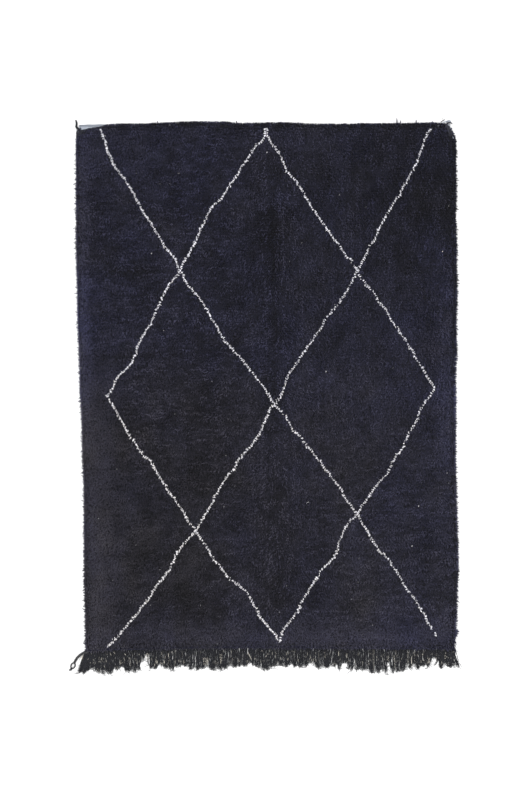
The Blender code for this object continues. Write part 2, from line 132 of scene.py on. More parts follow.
LEFT_EDGE = rows(
    EdgeRow,
    (0.00, -0.814), (0.35, -0.821), (0.70, -0.822), (0.95, -0.830), (1.25, -0.842), (1.55, -0.851),
    (1.85, -0.857), (2.29, -0.858), (2.37, -0.841),
)
RIGHT_EDGE = rows(
    EdgeRow,
    (0.00, 0.852), (0.35, 0.865), (0.65, 0.858), (1.10, 0.850), (1.60, 0.861), (2.00, 0.857), (2.28, 0.856),
    (2.37, 0.836),
)
FAR_EDGE = rows(
    EdgeRow,
    (-0.86, 2.366), (-0.56, 2.373), (-0.32, 2.382), (-0.19, 2.381), (-0.12, 2.374), (0.05, 2.378),
    (0.24, 2.371), (0.60, 2.374), (0.75, 2.377), (0.86, 2.371),
)
NEAR_EDGE = rows(
    EdgeRow,
    (-0.82, -0.009), (-0.66, -0.002), (-0.30, 0.005), (0.05, 0.007), (0.40, 0.003), (0.86, 0.001),
)


def smooth(share: Array) -> Array:
    """The step from 0 to 1 with level ends."""
    share = np.clip(share, 0.0, 1.0)
    return share * share * (3.0 - 2.0 * share)


def edge_curve(table: Sequence[EdgeRow], along: Array) -> Array:
    """Reads an edge's smooth curve.

    Args:
        table: the edge's rows.
        along: distances along the edge.

    Returns:
        The edge's place at each distance.
    """
    at = np.array([row.at for row in table])
    out = np.array([row.out for row in table])
    k = np.clip(np.searchsorted(at, along) - 1, 0, len(at) - 2)
    share = smooth((along - at[k]) / (at[k + 1] - at[k]))
    return out[k] + (out[k + 1] - out[k]) * share


def noise_field(x: Array, y: Array, size: float, layer: Layer) -> Array:
    """A smooth random field from about -1 to 1.

    Args:
        x: places across the cloth.
        y: places along the cloth.
        size: how far apart its bumps are.
        layer: which field to read.

    Returns:
        The field's value at each place.
    """
    spots = zip((x / size).tolist(), (y / size).tolist())
    return np.array([noise.noise(Vector((a, b, layer.value))) for a, b in spots])


def polar(angle: Array) -> Array:
    """Unit vectors on the floor at these angles from the way to the fringe, positive to the right."""
    return np.stack([np.sin(angle), -np.cos(angle), np.zeros_like(angle)], axis=-1)


def unit(vectors: Array) -> Array:
    """These vectors at length one."""
    return vectors / np.linalg.norm(vectors, axis=-1, keepdims=True)


def distances(line: Array) -> Array:
    """How far along a line each of its points lies."""
    return np.concatenate([[0.0], np.cumsum(np.linalg.norm(np.diff(line, axis=0), axis=1))])


def grid_shares(across: int, along: int) -> tuple[Array, Array]:
    """The shares across and along of an even grid's points, column by column."""
    u, v = np.meshgrid(np.linspace(0, 1, across + 1), np.linspace(0, 1, along + 1), indexing="ij")
    return u.ravel(), v.ravel()


def add_piece(name: str, data: bpy.types.ID) -> Piece:
    """Puts an object into the scene.

    Args:
        name: its name.
        data: its mesh, light or camera.

    Returns:
        The object, at the origin.
    """
    piece = bpy.data.objects.new(name, data)
    bpy.context.scene.collection.objects.link(piece)
    return piece


def store_values(mesh: bpy.types.Mesh, name: str, values: Array) -> None:
    """Gives each point of a mesh a value.

    Args:
        mesh: the mesh.
        name: the values' name.
        values: a number or a vector for each point.
    """
    is_vector = values.ndim == 2
    store = mesh.attributes.new(name, "FLOAT_VECTOR" if is_vector else "FLOAT", "POINT")
    store.data.foreach_set("vector" if is_vector else "value", values.astype(np.float32).ravel())


@dataclass
class Cloth:
    """The woven cloth's outline and the height of its pile, in the frame's axes."""

    length: float = 2.372
    ground_thick: float = 0.004
    strip_left: float = -0.814  # the ends of the fringe's strip in the cloth's own drawing
    strip_right: float = 0.852
    strip_back: float = -0.0096
    strip_top: float = 0.0085  # nothing else of the fringe is as tall
    metres_per_pixel: float = 0.00451
    middle_pixel: float = 266.0  # where the drawing's x = 0 shows in the photograph
    end_pixel: float = 649.5  # and its y = 0
    crease_far_x: float = 0.030
    crease_near_x: float = 0.066
    wedge_long: float = 0.130  # bare ground at the far left corner
    wedge_deep: float = 0.019
    worn_long: float = 0.018  # and at the far right one
    worn_deep: float = 0.045
    shoulder: float = 0.006
    inset: float = 0.014  # how far inside its rim the solid's top is read
    cell: float = 0.016  # spacing at which the solid's top is read

    def __post_init__(self) -> None:
        """Finds where the drawing lies in the frame, and reads the solid's top."""
        strip = self.corners("fringe")
        strip = strip[strip[:, 2] > self.strip_top]
        left, right = strip[:, 0].min(), strip[:, 0].max()
        back = strip[strip[:, 0] < left + self.cell / 100.0][:, 1].max()
        middle = (left + right) / 2.0 - (self.strip_left + self.strip_right) / 2.0
        self.origin = np.array([middle, back - self.strip_back])
        self.read_top()

    @staticmethod
    def corners(node: str) -> Array:
        """The corner points of a node's faces.

        Args:
            node: the node's name.

        Returns:
            The points, one row each.
        """
        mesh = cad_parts[node].data
        points = np.empty(len(mesh.vertices) * 3, np.float32)
        mesh.vertices.foreach_get("co", points)
        return points.reshape(-1, 3)

    def read_top(self) -> None:
        """Reads the height of the pile's solid on an even grid, by rays from above."""
        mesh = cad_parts["pile_field"].data
        points = [vert.co for vert in mesh.vertices]
        tree = BVHTree.FromPolygons(points, [face.vertices for face in mesh.polygons])
        low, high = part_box("pile_field")
        self.grid_x = np.arange(low.x, high.x + self.cell, self.cell)
        self.grid_y = np.arange(low.y, high.y + self.cell, self.cell)
        self.tops = np.zeros((len(self.grid_x), len(self.grid_y)))
        for i, x in enumerate(self.grid_x):
            for j, y in enumerate(self.grid_y):
                hit = tree.ray_cast(Vector((x, y, 1.0)), Vector(-UP))[0]
                self.tops[i, j] = hit.z if hit else self.ground_thick

    def place(self, x: Array, y: Array) -> tuple[Array, Array]:
        """Turns places of the cloth's drawing into the frame's."""
        return x + self.origin[0], y + self.origin[1]

    def pixel(self, px: Array, py: Array) -> tuple[Array, Array]:
        """Turns places in the photograph into places in the frame.

        Args:
            px: pixels from the photograph's left side.
            py: and from its top.

        Returns:
            The places' x and y.
        """
        x = (np.asarray(px, float) - self.middle_pixel) * self.metres_per_pixel
        y = (self.end_pixel - np.asarray(py, float)) * self.metres_per_pixel
        return self.place(x, y)

    def left(self, y: Array) -> Array:
        """The left edge's x at each y."""
        return edge_curve(LEFT_EDGE, y - self.origin[1]) + self.origin[0]

    def right(self, y: Array) -> Array:
        """The right edge's x at each y."""
        return edge_curve(RIGHT_EDGE, y - self.origin[1]) + self.origin[0]

    def near(self, x: Array) -> Array:
        """The fringe end's y at each x."""
        return edge_curve(NEAR_EDGE, x - self.origin[0]) + self.origin[1]

    def far(self, x: Array) -> Array:
        """The plain end's y at each x."""
        return edge_curve(FAR_EDGE, x - self.origin[0]) + self.origin[1]

    def at(self, u: Array, v: Array, inset: float = 0.0) -> tuple[Array, Array]:
        """Lays shares of the cloth out in the frame.

        Args:
            u: shares across, 0 at the left edge and 1 at the right one.
            v: shares along, 0 at the fringe end and 1 at the plain one.
            inset: how far to stay inside the outline.

        Returns:
            The places' x and y.
        """
        y = v * self.length + self.origin[1]
        for _ in range(2):
            left, right = self.left(y) + inset, self.right(y) - inset
            x = left + (right - left) * u
            near, far = self.near(x) + inset, self.far(x) - inset
            y = near + (far - near) * v
        return x, y

    def shares(self, x: Array, y: Array) -> tuple[Array, Array]:
        """The shares across and along at which places in the frame lie."""
        left, right, near, far = self.left(y), self.right(y), self.near(x), self.far(x)
        return (x - left) / (right - left), (y - near) / (far - near)

    def crease(self, y: Array) -> Array:
        """The crease's x at each y."""
        share = (y - self.origin[1]) / self.length
        return self.crease_near_x + (self.crease_far_x - self.crease_near_x) * share + self.origin[0]

    def bare(self, x: Array, y: Array) -> Array:
        """How bare the ground is at the far end.

        Args:
            x: places across.
            y: places along.

        Returns:
            1 where no pile stands, 0 where it is full.
        """
        inside = self.far(x) - y
        wedge = self.wedge_deep * np.clip(1.0 - (x - self.left(y)) / self.wedge_long, 0.0, 1.0)
        in_wedge = (1.0 - smooth((inside - wedge) / self.shoulder)) * smooth(wedge / self.shoulder)
        worn = (self.right(y) - x) / self.worn_long + inside / self.worn_deep
        in_worn = 1.0 - smooth((worn - 1.0) * self.worn_long / self.shoulder)
        return np.maximum(in_wedge, in_worn)

    def top(self, x: Array, y: Array) -> Array:
        """The height of the pile's solid, read a little inside its rim.

        Args:
            x: places across.
            y: places along.

        Returns:
            The height at each place.
        """
        x = np.clip(x, self.left(y) + self.inset, self.right(y) - self.inset)
        y = np.clip(y, self.near(x) + self.inset, self.far(x) - self.inset)
        i = (x - self.grid_x[0]) / self.cell
        j = (y - self.grid_y[0]) / self.cell
        i0 = np.clip(i.astype(int), 0, len(self.grid_x) - 2)
        j0 = np.clip(j.astype(int), 0, len(self.grid_y) - 2)
        s, t = i - i0, j - j0
        low = self.tops[i0, j0] * (1.0 - s) + self.tops[i0 + 1, j0] * s
        high = self.tops[i0, j0 + 1] * (1.0 - s) + self.tops[i0 + 1, j0 + 1] * s
        return low * (1.0 - t) + high * t


class NodeKit:
    """Short ways to add nodes to a tree and to link them."""

    def __init__(self, tree: bpy.types.NodeTree) -> None:
        """Starts with the tree that the nodes go into."""
        self.tree = tree

    def add(self, kind: str, inputs: dict | None = None, **settings: object) -> bpy.types.Node:
        """Adds a node.

        Args:
            kind: Blender's name for the kind of node.
            inputs: what goes into its sockets, by name or number: another socket, or a value.
            settings: the node's own properties.

        Returns:
            The node.
        """
        node = self.tree.nodes.new(kind)
        for name, value in settings.items():
            setattr(node, name, value)
        for key, value in (inputs or {}).items():
            if isinstance(value, Socket):
                self.tree.links.new(value, node.inputs[key])
            else:
                node.inputs[key].default_value = value
        return node

    def math(self, operation: str, a: Socket | float, b: Socket | float = 0.0) -> Socket:
        """One number from one or two."""
        return self.add("ShaderNodeMath", {0: a, 1: b}, operation=operation).outputs[0]

    def times(self, a: Socket | float, b: Socket | float) -> Socket:
        """The product of two numbers."""
        return self.math("MULTIPLY", a, b)

    def vector(self, operation: str, a: Socket, b: Socket | Sequence[float] = (0.0, 0.0, 0.0)) -> Socket:
        """One vector from one or two."""
        return self.add("ShaderNodeVectorMath", {0: a, 1: b}, operation=operation).outputs[0]

    def scaled(self, a: Socket, by: Socket | float) -> Socket:
        """A vector times a number."""
        return self.add("ShaderNodeVectorMath", {0: a, "Scale": by}, operation="SCALE").outputs[0]

    def total(self, parts: Sequence[Socket]) -> Socket:
        """Adds vectors up.

        Args:
            parts: the vectors.

        Returns:
            Their sum.
        """
        whole = parts[0]
        for part in parts[1:]:
            whole = self.vector("ADD", whole, part)
        return whole


@dataclass
class Yarns:
    """A batch of yarns, one row each. A yarn starts at its root and bends along a cubic curve."""

    root: Array  # where it starts
    bend_1: Array  # the curve's three further points, from the root
    bend_2: Array
    bend_3: Array
    thick: Array  # its thickness near the root
    shade: Array  # how light its wool is, around 1
    warmth: Array  # 0 for the coolest wool of its finish and 1 for the warmest
    waves: Array  # how many times its crimp turns
    wave_tall: Array  # and how far it swings
    phase: Array  # where the crimp starts

    @classmethod
    def make(
        cls,
        root: Array,
        bends: Sequence[Array],
        thick: Array | float,
        shade: Array | float = 1.0,
        warmth: Array | float = 0.0,
        waves: Array | float = 0.0,
        wave_tall: Array | float = 0.0,
        phase: Array | float = 0.0,
    ) -> Yarns:
        """A batch in which a single number stands for all the yarns."""
        numbers = (thick, shade, warmth, waves, wave_tall, phase)
        return cls(root, *bends, *(np.broadcast_to(n, len(root)).astype(float) for n in numbers))

    @classmethod
    def join(cls, batches: Sequence[Yarns]) -> Yarns:
        """One batch of several."""
        names = [part.name for part in fields(cls)]
        return cls(*(np.concatenate([getattr(batch, name) for batch in batches]) for name in names))


@dataclass(frozen=True)
class YarnForm:
    """How one yarn of a batch is meshed: a slim closed cone that is bent along the yarn's curve."""

    sides: int = 3
    rings: int = 2
    spread: float = 1.0  # below 1 the rings gather towards the tip, above 1 towards the root
    tip: float = 0.35  # share of the length that tapers to the end
    blunt: float = 0.0  # thickness of the end over the yarn's
    crimp_start: float = 4.0  # how fast the crimp sets in from the root

    def tree(self) -> tuple[bpy.types.NodeTree, dict[str, str]]:
        """Builds the tree that makes yarns of a points mesh.

        Returns:
            The tree, and the identifiers of its inputs by name.
        """
        tree = bpy.data.node_groups.new("yarns", "GeometryNodeTree")
        kinds = {"Geometry": "Geometry", "Sides": "Int", "Rings": "Int", "Spread": "Float"}
        kinds |= {"Tip": "Float", "Blunt": "Float", "Finish": "Material"}
        ask = tree.interface.new_socket
        names = {
            name: ask(name, in_out="INPUT", socket_type=f"NodeSocket{kind}").identifier
            for name, kind in kinds.items()
        }
        ask("Geometry", in_out="OUTPUT", socket_type="NodeSocketGeometry")
        kit = NodeKit(tree)
        given = kit.add("NodeGroupInput").outputs
        cone = self.add_cone(kit, given)
        stand = kit.add("GeometryNodeInstanceOnPoints", {"Points": given["Geometry"], "Instance": cone})
        whole = kit.add("GeometryNodeRealizeInstances", {0: stand.outputs[0]}).outputs[0]
        place = self.add_place(kit, given)
        bent = kit.add("GeometryNodeSetPosition", {"Geometry": whole, "Position": place}).outputs[0]
        soft = kit.add("GeometryNodeSetShadeSmooth", {0: bent, "Shade Smooth": True}).outputs[0]
        done = kit.add("GeometryNodeSetMaterial", {0: soft, "Material": given["Finish"]}).outputs[0]
        kit.add("NodeGroupOutput", {0: done})
        return tree, names

    @staticmethod
    def read(kit: NodeKit, name: str, kind: str = "FLOAT") -> Socket:
        """A value that every point of a yarn carries."""
        return kit.add("GeometryNodeInputNamedAttribute", {"Name": name}, data_type=kind).outputs[0]

    def add_cone(self, kit: NodeKit, given: Sequence[Socket]) -> Socket:
        """The cone that every yarn starts as.

        Args:
            kit: the tree's kit.
            given: the tree's inputs.

        Returns:
            The cone, whose points know how far along the yarn they are and on which side.
        """
        size = {"Vertices": given["Sides"], "Side Segments": given["Rings"], "Radius Top": given["Blunt"]}
        size |= {"Radius Bottom": 1.0, "Depth": 1.0}
        cone = kit.add("GeometryNodeMeshCone", size, fill_type="NGON").outputs[0]
        here = kit.add("GeometryNodeInputPosition").outputs[0]
        apart = kit.add("ShaderNodeSeparateXYZ", {0: here}).outputs
        along = kit.math("POWER", apart["Z"], given["Spread"])
        flat = kit.add("ShaderNodeCombineXYZ", {0: apart["X"], 1: apart["Y"]}).outputs[0]
        around = kit.vector("NORMALIZE", flat)
        for name, value, kind in (("along", along, "FLOAT"), ("around", around, "FLOAT_VECTOR")):
            step = {"Geometry": cone, "Name": name, "Value": value}
            cone = kit.add("GeometryNodeStoreNamedAttribute", step, data_type=kind).outputs[0]
        return cone

    def add_place(self, kit: NodeKit, given: Sequence[Socket]) -> Socket:
        """Where a point of the cone goes.

        Args:
            kit: the tree's kit.
            given: the tree's inputs.

        Returns:
            Its place on the yarn's curve, out by the yarn's radius and aside by its crimp.
        """
        t = self.read(kit, "along")
        bends = [self.read(kit, f"bend_{k}", "FLOAT_VECTOR") for k in (1, 2, 3)]
        rest = kit.math("SUBTRACT", 1.0, t)
        rest_2, t_2 = kit.times(rest, rest), kit.times(t, t)
        first, second = kit.times(rest_2, kit.times(t, 3.0)), kit.times(t_2, kit.times(rest, 3.0))
        weights = (first, second, kit.times(t_2, t))
        spine = kit.total([kit.scaled(bend, weight) for bend, weight in zip(bends, weights)])
        steps = (bends[0], *(kit.vector("SUBTRACT", bends[k + 1], bends[k]) for k in (0, 1)))
        speeds = (rest_2, kit.times(kit.times(rest, t), 2.0), t_2)
        heading = kit.total([kit.scaled(step, speed) for step, speed in zip(steps, speeds)])
        side = kit.vector("NORMALIZE", kit.vector("CROSS_PRODUCT", tuple(UP), bends[2]))
        rise = kit.vector("NORMALIZE", kit.vector("CROSS_PRODUCT", heading, side))
        radius = self.add_radius(kit, given, t)
        around = kit.add("ShaderNodeSeparateXYZ", {0: self.read(kit, "around", "FLOAT_VECTOR")}).outputs
        turn = kit.math("ADD", kit.times(t, self.read(kit, "waves")), self.read(kit, "phase"))
        swing = kit.times(kit.math("SINE", kit.times(turn, math.tau)), self.read(kit, "wave_tall"))
        swing = kit.times(swing, kit.math("MINIMUM", kit.times(t, self.crimp_start), 1.0))
        sideways = kit.math("ADD", kit.times(around["X"], radius), swing)
        root = self.read(kit, "root", "FLOAT_VECTOR")
        out = [kit.scaled(side, sideways), kit.scaled(rise, kit.times(around["Y"], radius))]
        return kit.total([root, spine, *out])

    def add_radius(self, kit: NodeKit, given: Sequence[Socket], t: Socket) -> Socket:
        """The yarn's radius: full, and tapered over its tip.

        Args:
            kit: the tree's kit.
            given: the tree's inputs.
            t: the share of the yarn's length.

        Returns:
            The radius there.
        """
        left = kit.math("DIVIDE", kit.math("SUBTRACT", 1.0, t), given["Tip"])
        taper = kit.math("MAXIMUM", kit.math("SQRT", kit.math("MINIMUM", left, 1.0)), given["Blunt"])
        return kit.times(kit.times(self.read(kit, "thick"), 0.5), taper)

    def spin(self, name: str, yarns: Yarns, finish: Material) -> Piece:
        """Makes one plain mesh piece of a batch of yarns.

        Args:
            name: the piece's name.
            yarns: the batch.
            finish: the material that it gets.

        Returns:
            The finished piece, at the origin.
        """
        mesh = bpy.data.meshes.new(f"{name}_roots")
        mesh.vertices.add(len(yarns.root))
        mesh.vertices.foreach_set("co", yarns.root.astype(np.float32).ravel())
        for part in fields(yarns):
            store_values(mesh, part.name, getattr(yarns, part.name))
        holder = add_piece(f"{name}_roots", mesh)
        tree, names = self.tree()
        modifier = holder.modifiers.new("yarns", "NODES")
        modifier.node_group = tree
        values = {"Sides": self.sides, "Rings": self.rings, "Spread": self.spread, "Tip": self.tip}
        for key, value in (values | {"Blunt": self.blunt, "Finish": finish}).items():
            modifier[names[key]] = value
        graph = bpy.context.evaluated_depsgraph_get()
        made = bpy.data.meshes.new_from_object(holder.evaluated_get(graph))
        bpy.data.objects.remove(holder)
        bpy.data.meshes.remove(mesh)
        for store in [a.name for a in made.attributes if a.domain == "POINT" and not a.is_internal]:
            if store not in ("position", "along", "shade", "warmth"):
                made.attributes.remove(made.attributes[store])
        made.name = name
        return add_piece(name, made)


class ShaderKit(NodeKit):
    """Short ways to add shading nodes to a new material."""

    SPECULAR = 0.2
    SHEEN_ROUGHNESS = 0.5
    BUMP_STRENGTH = 0.6

    def __init__(self, name: str) -> None:
        """Starts a material with only its shader.

        Args:
            name: the material's name.
        """
        self.material = bpy.data.materials.new(name)
        self.material.use_nodes = True
        super().__init__(self.material.node_tree)
        self.shader = self.tree.nodes["Principled BSDF"]

    def value(self, name: str) -> Socket:
        """A number that the mesh carries."""
        return self.add("ShaderNodeAttribute", attribute_name=name).outputs["Fac"]

    def here(self) -> Socket:
        """The place on the object, in metres."""
        return self.add("ShaderNodeTexCoord").outputs["Object"]

    def mix(self, share: Socket | float, a: Socket | Colour, b: Socket | Colour) -> Socket:
        """A colour between two others."""
        a, b = (c if isinstance(c, Socket) else (*c, 1.0) for c in (a, b))
        return self.add("ShaderNodeMix", {0: share, 6: a, 7: b}, data_type="RGBA").outputs[2]

    def grain(self, place: Socket, size: float, output: str = "Fac") -> Socket:
        """Noise with features of a size in metres."""
        return self.add("ShaderNodeTexNoise", {"Vector": place, "Scale": 1.0 / size}).outputs[output]

    def span(self, value: Socket, low: float, high: float) -> Socket:
        """Takes a number from 0 to 1 to one from low to high."""
        return self.add("ShaderNodeMapRange", {0: value, 3: low, 4: high}).outputs[0]

    def finish(self, colour: Socket, roughness: float, sheen: float, bump: Socket, rise: float) -> None:
        """Sets the shader's colour, gloss and bump.

        Args:
            colour: the base colour.
            roughness: the shader's roughness.
            sheen: the weight of its sheen.
            bump: the height that roughens the surface, from about 0 to 1.
            rise: that height's size in metres.
        """
        values = {"Roughness": roughness, "Specular IOR Level": self.SPECULAR, "Sheen Weight": sheen}
        for key, value in (values | {"Sheen Roughness": self.SHEEN_ROUGHNESS}).items():
            self.shader.inputs[key].default_value = value
        settings = {"Height": bump, "Distance": rise, "Strength": self.BUMP_STRENGTH}
        self.tree.links.new(colour, self.shader.inputs["Base Color"])
        self.tree.links.new(self.add("ShaderNodeBump", settings).outputs[0], self.shader.inputs["Normal"])


@dataclass(frozen=True)
class YarnFinish:
    """Dyed or undyed wool: each yarn has its own lightness and warmth, with painted shade that darkens it
    towards its root, deep in the pile.
    """

    name: str
    cool: Colour
    warm: Colour
    depth: float  # painted shade: lightness at the root over that at the tip
    roughness: float = 0.9
    sheen: float = 0.05
    fibre: float = 0.0012  # size of the fibres' unevenness
    fibre_contrast: float = 0.25
    rise: float = 0.0004

    def make(self) -> Material:
        """Builds the material.

        Returns:
            The material.
        """
        kit = ShaderKit(self.name)
        wool = kit.mix(kit.value("warmth"), self.cool, self.warm)
        # Painted shade: darker towards each yarn's root, deep in the pile.
        depth = kit.span(kit.value("along"), self.depth, 1.0)
        fibres = kit.grain(kit.here(), self.fibre)
        uneven = kit.span(fibres, 1.0 - self.fibre_contrast, 1.0 + self.fibre_contrast)
        light = kit.times(kit.times(depth, uneven), kit.value("shade"))
        kit.finish(kit.scaled(wool, light), self.roughness, self.sheen, fibres, self.rise)
        return kit.material


@dataclass(frozen=True)
class BedFinish:
    """The pile's lower part: packed tufts that lie with the nap, with painted shade between them and painted
    light on their middles, and fibres along them.
    """

    name: str = "bed_wool"
    tuft: float = 0.0048
    slim: float = 0.55  # how much a tuft is stretched along the nap
    steep: float = 1.35  # how fast the painted shade darkens it towards its rim
    swirl: float = 0.022  # size of the places where tufts turn aside together
    stray: float = 0.014  # how far they do
    between: float = 0.26  # lightness of the painted shade between two tufts
    top: float = 2.0  # and of the painted light at a tuft's middle
    fibre: float = 0.0013
    fibre_slim: float = 0.22
    fibre_contrast: float = 0.6
    roughness: float = 0.9
    sheen: float = 0.05
    rise: float = 0.004

    def make(self) -> Material:
        """Builds the material.

        Returns:
            The material.
        """
        kit = ShaderKit(self.name)
        here = kit.here()
        here = kit.total([here, kit.scaled(kit.grain(here, self.swirl, "Color"), self.stray)])
        long = kit.vector("MULTIPLY", here, (1.0, self.slim, 1.0))
        cells = kit.add("ShaderNodeTexVoronoi", {"Vector": long, "Scale": 1.0 / self.tuft})
        fibres = kit.grain(kit.vector("MULTIPLY", here, (1.0, self.fibre_slim, 1.0)), self.fibre)
        # Painted shade between the tufts and painted light on their middles.
        painted_tuft_shade = kit.span(kit.times(cells.outputs["Distance"], self.steep), self.top, self.between)
        light = kit.times(painted_tuft_shade, kit.span(fibres, 1.0 - self.fibre_contrast, 1.0 + self.fibre_contrast))
        wool = kit.mix(kit.value("warmth"), PILE_COOL, PILE_WARM)
        colour = kit.scaled(wool, kit.times(light, kit.value("shade")))
        kit.finish(colour, self.roughness, self.sheen, light, self.rise)
        return kit.material


@dataclass(frozen=True)
class WeaveFinish:
    """A plain weave, dark but for the undyed hem that shows at the bare places, which is greyed as painted
    shade, and with painted shade between its yarns.
    """

    name: str = "ground_weave"
    dark: Colour = (0.018, 0.018, 0.024)
    # The undyed hem's ivory, painted darker and bluer as it looks in shade.
    hem: Colour = (0.42, 0.43, 0.46)
    warp_pitch: float = 0.0034
    weft_pitch: float = 0.0026
    yarn_light: Pair = (0.75, 1.1)  # painted shade between yarns, and lightness on them
    grain: float = 0.004
    grain_light: Pair = (0.8, 1.2)
    roughness: float = 0.95
    sheen: float = 0.1
    rise: float = 0.0006

    def make(self) -> Material:
        """Builds the material.

        Returns:
            The material.
        """
        kit = ShaderKit(self.name)
        here = kit.here()
        apart = kit.add("ShaderNodeSeparateXYZ", {0: here}).outputs
        warps = kit.math("SINE", kit.times(apart["X"], math.tau / self.warp_pitch))
        wefts = kit.math("SINE", kit.times(apart["Y"], math.tau / self.weft_pitch))
        weave = kit.span(kit.times(warps, wefts), *self.yarn_light)
        light = kit.times(weave, kit.span(kit.grain(here, self.grain), *self.grain_light))
        colour = kit.scaled(kit.mix(kit.value("bare"), self.dark, self.hem), light)
        kit.finish(colour, self.roughness, self.sheen, weave, self.rise)
        return kit.material


@dataclass(frozen=True)
class FloorFinish:
    """The plain pale floor."""

    name: str = "pale_floor"
    colour: Colour = (0.94, 0.94, 0.94)

    def make(self) -> Material:
        """Builds the material.

        Returns:
            The material.
        """
        kit = ShaderKit(self.name)
        values = {"Base Color": (*self.colour, 1.0), "Roughness": 1.0, "Specular IOR Level": 0.0}
        for key, value in values.items():
            kit.shader.inputs[key].default_value = value
        return kit.material


PILE_COOL = (0.029, 0.030, 0.064)
PILE_WARM = (0.041, 0.038, 0.046)
DARK_WOOL = YarnFinish("pile_wool", PILE_COOL, PILE_WARM, depth=0.28, fibre=0.0035, fibre_contrast=0.55)
IVORY_WOOL = YarnFinish("ivory_wool", (0.92, 0.92, 1.0), (0.90, 0.83, 0.70), depth=0.85, rise=0.0003)
WARP_YARN = YarnFinish(
    "warp_yarn", (0.021, 0.022, 0.027), (0.72, 0.68, 0.60), depth=0.8, fibre=0.0045, fibre_contrast=0.75
)
# Its warm end is the undyed hem's ivory, painted darker and bluer as it looks in shade.
HEM_YARN = YarnFinish("hem_yarn", (0.026, 0.027, 0.036), (0.46, 0.50, 0.57), depth=0.9, fibre=0.0010)


class Course(NamedTuple):
    """One side of a diamond, charted at its ends and main bends, in the photograph's pixels."""

    body: float  # how heavy the side is, 1 for a full one
    spots: tuple[Pair, ...]


LATTICE = rows(
    Course,
    # From the far end to the upper crossings.
    (1.00, ((100.5, 129.5), (110.5, 157), (115.5, 167), (124, 177), (131.5, 190.5), (140, 205),
        (164.5, 246.5), (174, 258), (180, 270))),
    (1.05, ((265.7, 128.5), (263.3, 138.5), (253.5, 149), (231.5, 183.5), (220.5, 199.5), (211.5, 207.5),
        (196.5, 238), (180, 270))),
    (0.82, ((267.4, 128.5), (268.5, 138.5), (278, 151), (288, 172), (296, 181), (310.5, 204.5), (327, 229),
        (357.5, 270))),
    (0.78, ((430, 128.5), (425, 139), (416.5, 162), (408, 178.5), (391.5, 207), (380.5, 225.5),
        (371.5, 244), (358, 270))),
    # From the upper crossings to the side points and the middle.
    (0.98, ((180.5, 270.5), (167.5, 286.5), (158.5, 305), (150.5, 323), (138.5, 343), (135, 354),
        (126.5, 369), (119, 375.5), (107, 397))),
    (0.89, ((180.5, 270.5), (188.5, 285), (199, 298), (210, 316), (217, 327), (222, 337), (241, 359.5),
        (264, 387), (275, 405.5))),
    (0.68, ((357.5, 270.5), (350.5, 284.5), (339, 302.5), (327, 318), (305.5, 350.5), (290, 373.5),
        (281, 394.5), (275, 405.5))),
    (0.68, ((358, 270.5), (361.5, 279), (376, 296.5), (378, 301), (385.5, 308), (390.5, 318.5),
        (411, 348.5), (417, 360.5), (435, 387.5))),
    # From there to the lower crossings.
    (0.95, ((107, 397), (119.5, 417), (123, 425), (142, 453), (151, 462), (155.5, 471), (183, 512),
        (188, 522.5), (196, 531.5))),
    (1.02, ((274.5, 406), (270, 409.5), (262.5, 428), (256, 438.5), (236.5, 463), (234.5, 468.5),
        (226.5, 477), (212, 502), (196.5, 530.5))),
    (0.76, ((275.5, 406), (287, 418), (293, 429), (302, 439), (322, 465), (341, 489), (345, 497.5),
        (357, 514))),
    (0.78, ((435, 387.5), (421, 409), (417, 419.5), (409.5, 432), (400, 453), (396.5, 456), (387.5, 473),
        (374, 488.5), (357.5, 514))),
    # And from those to the near end.
    (0.90, ((195, 532), (179, 550), (169.5, 569), (153.5, 590.5), (144, 604), (127, 626.5), (107.5, 647))),
    (0.90, ((196, 531.5), (208, 548), (213, 558), (224, 571), (227, 576.5), (240, 586), (251, 600),
        (260.5, 616), (277.5, 638), (279.5, 642.5))),
    (0.84, ((356.5, 514.5), (347.5, 524), (341, 536.5), (335, 556.5), (321.5, 570), (302.5, 600.5),
        (297.5, 612), (284, 628.5), (279.5, 641.5))),
    (0.72, ((357.5, 514.5), (370.5, 537.5), (379, 550.5), (384.5, 554.5), (392.5, 565), (405, 586),
        (423, 611.5), (427.5, 622), (436.5, 635.5))),
)


class OddKnot(NamedTuple):
    """A place where a line is thin or broken, or heavier than usual: its pixel and its weight."""

    px: float
    py: float
    weight: float


ODD_KNOTS = rows(
    OddKnot,
    (126.5, 181, 0.3), (280.5, 156, 0.1), (303.5, 193, 0.0), (353, 263.5, 0.2), (418.5, 156, 0.1),
    (424, 143.5, 0.4), (376.5, 297, 0.1), (402.5, 335.5, 0.3), (407, 342, 0.0), (418, 363, 0.1),
    (317.5, 333, 0.1), (236, 355.5, 0.5), (410, 431, 0.1), (331, 477.5, 0.3), (360.5, 520, 0.2),
    (393, 565.5, 0.1), (401, 578, 0.3), (219.5, 566, 0.1), (320, 572, 0.3), (294.5, 614.5, 0.3),
    (424, 615, 0.4), (434, 632, 0.0), (102.5, 136.5, 1.8), (107.8, 150.5, 1.9), (104.5, 142.5, 1.4),
    (111.0, 157.0, 1.3), (194, 241, 1.4), (379.5, 230.5, 1.5), (411, 348.5, 1.5), (305.5, 351, 1.7),
    (280.5, 395.5, 1.6), (107, 397, 1.3), (142, 453.5, 1.3), (155, 470, 1.3), (185.5, 517.5, 1.5),
    (358.5, 518, 1.5), (317, 577, 1.4),
)


class Wash(NamedTuple):
    """A soft patch where the pile is lighter or darker than the rest."""

    px: float
    py: float
    wide: float
    tall: float
    light: float


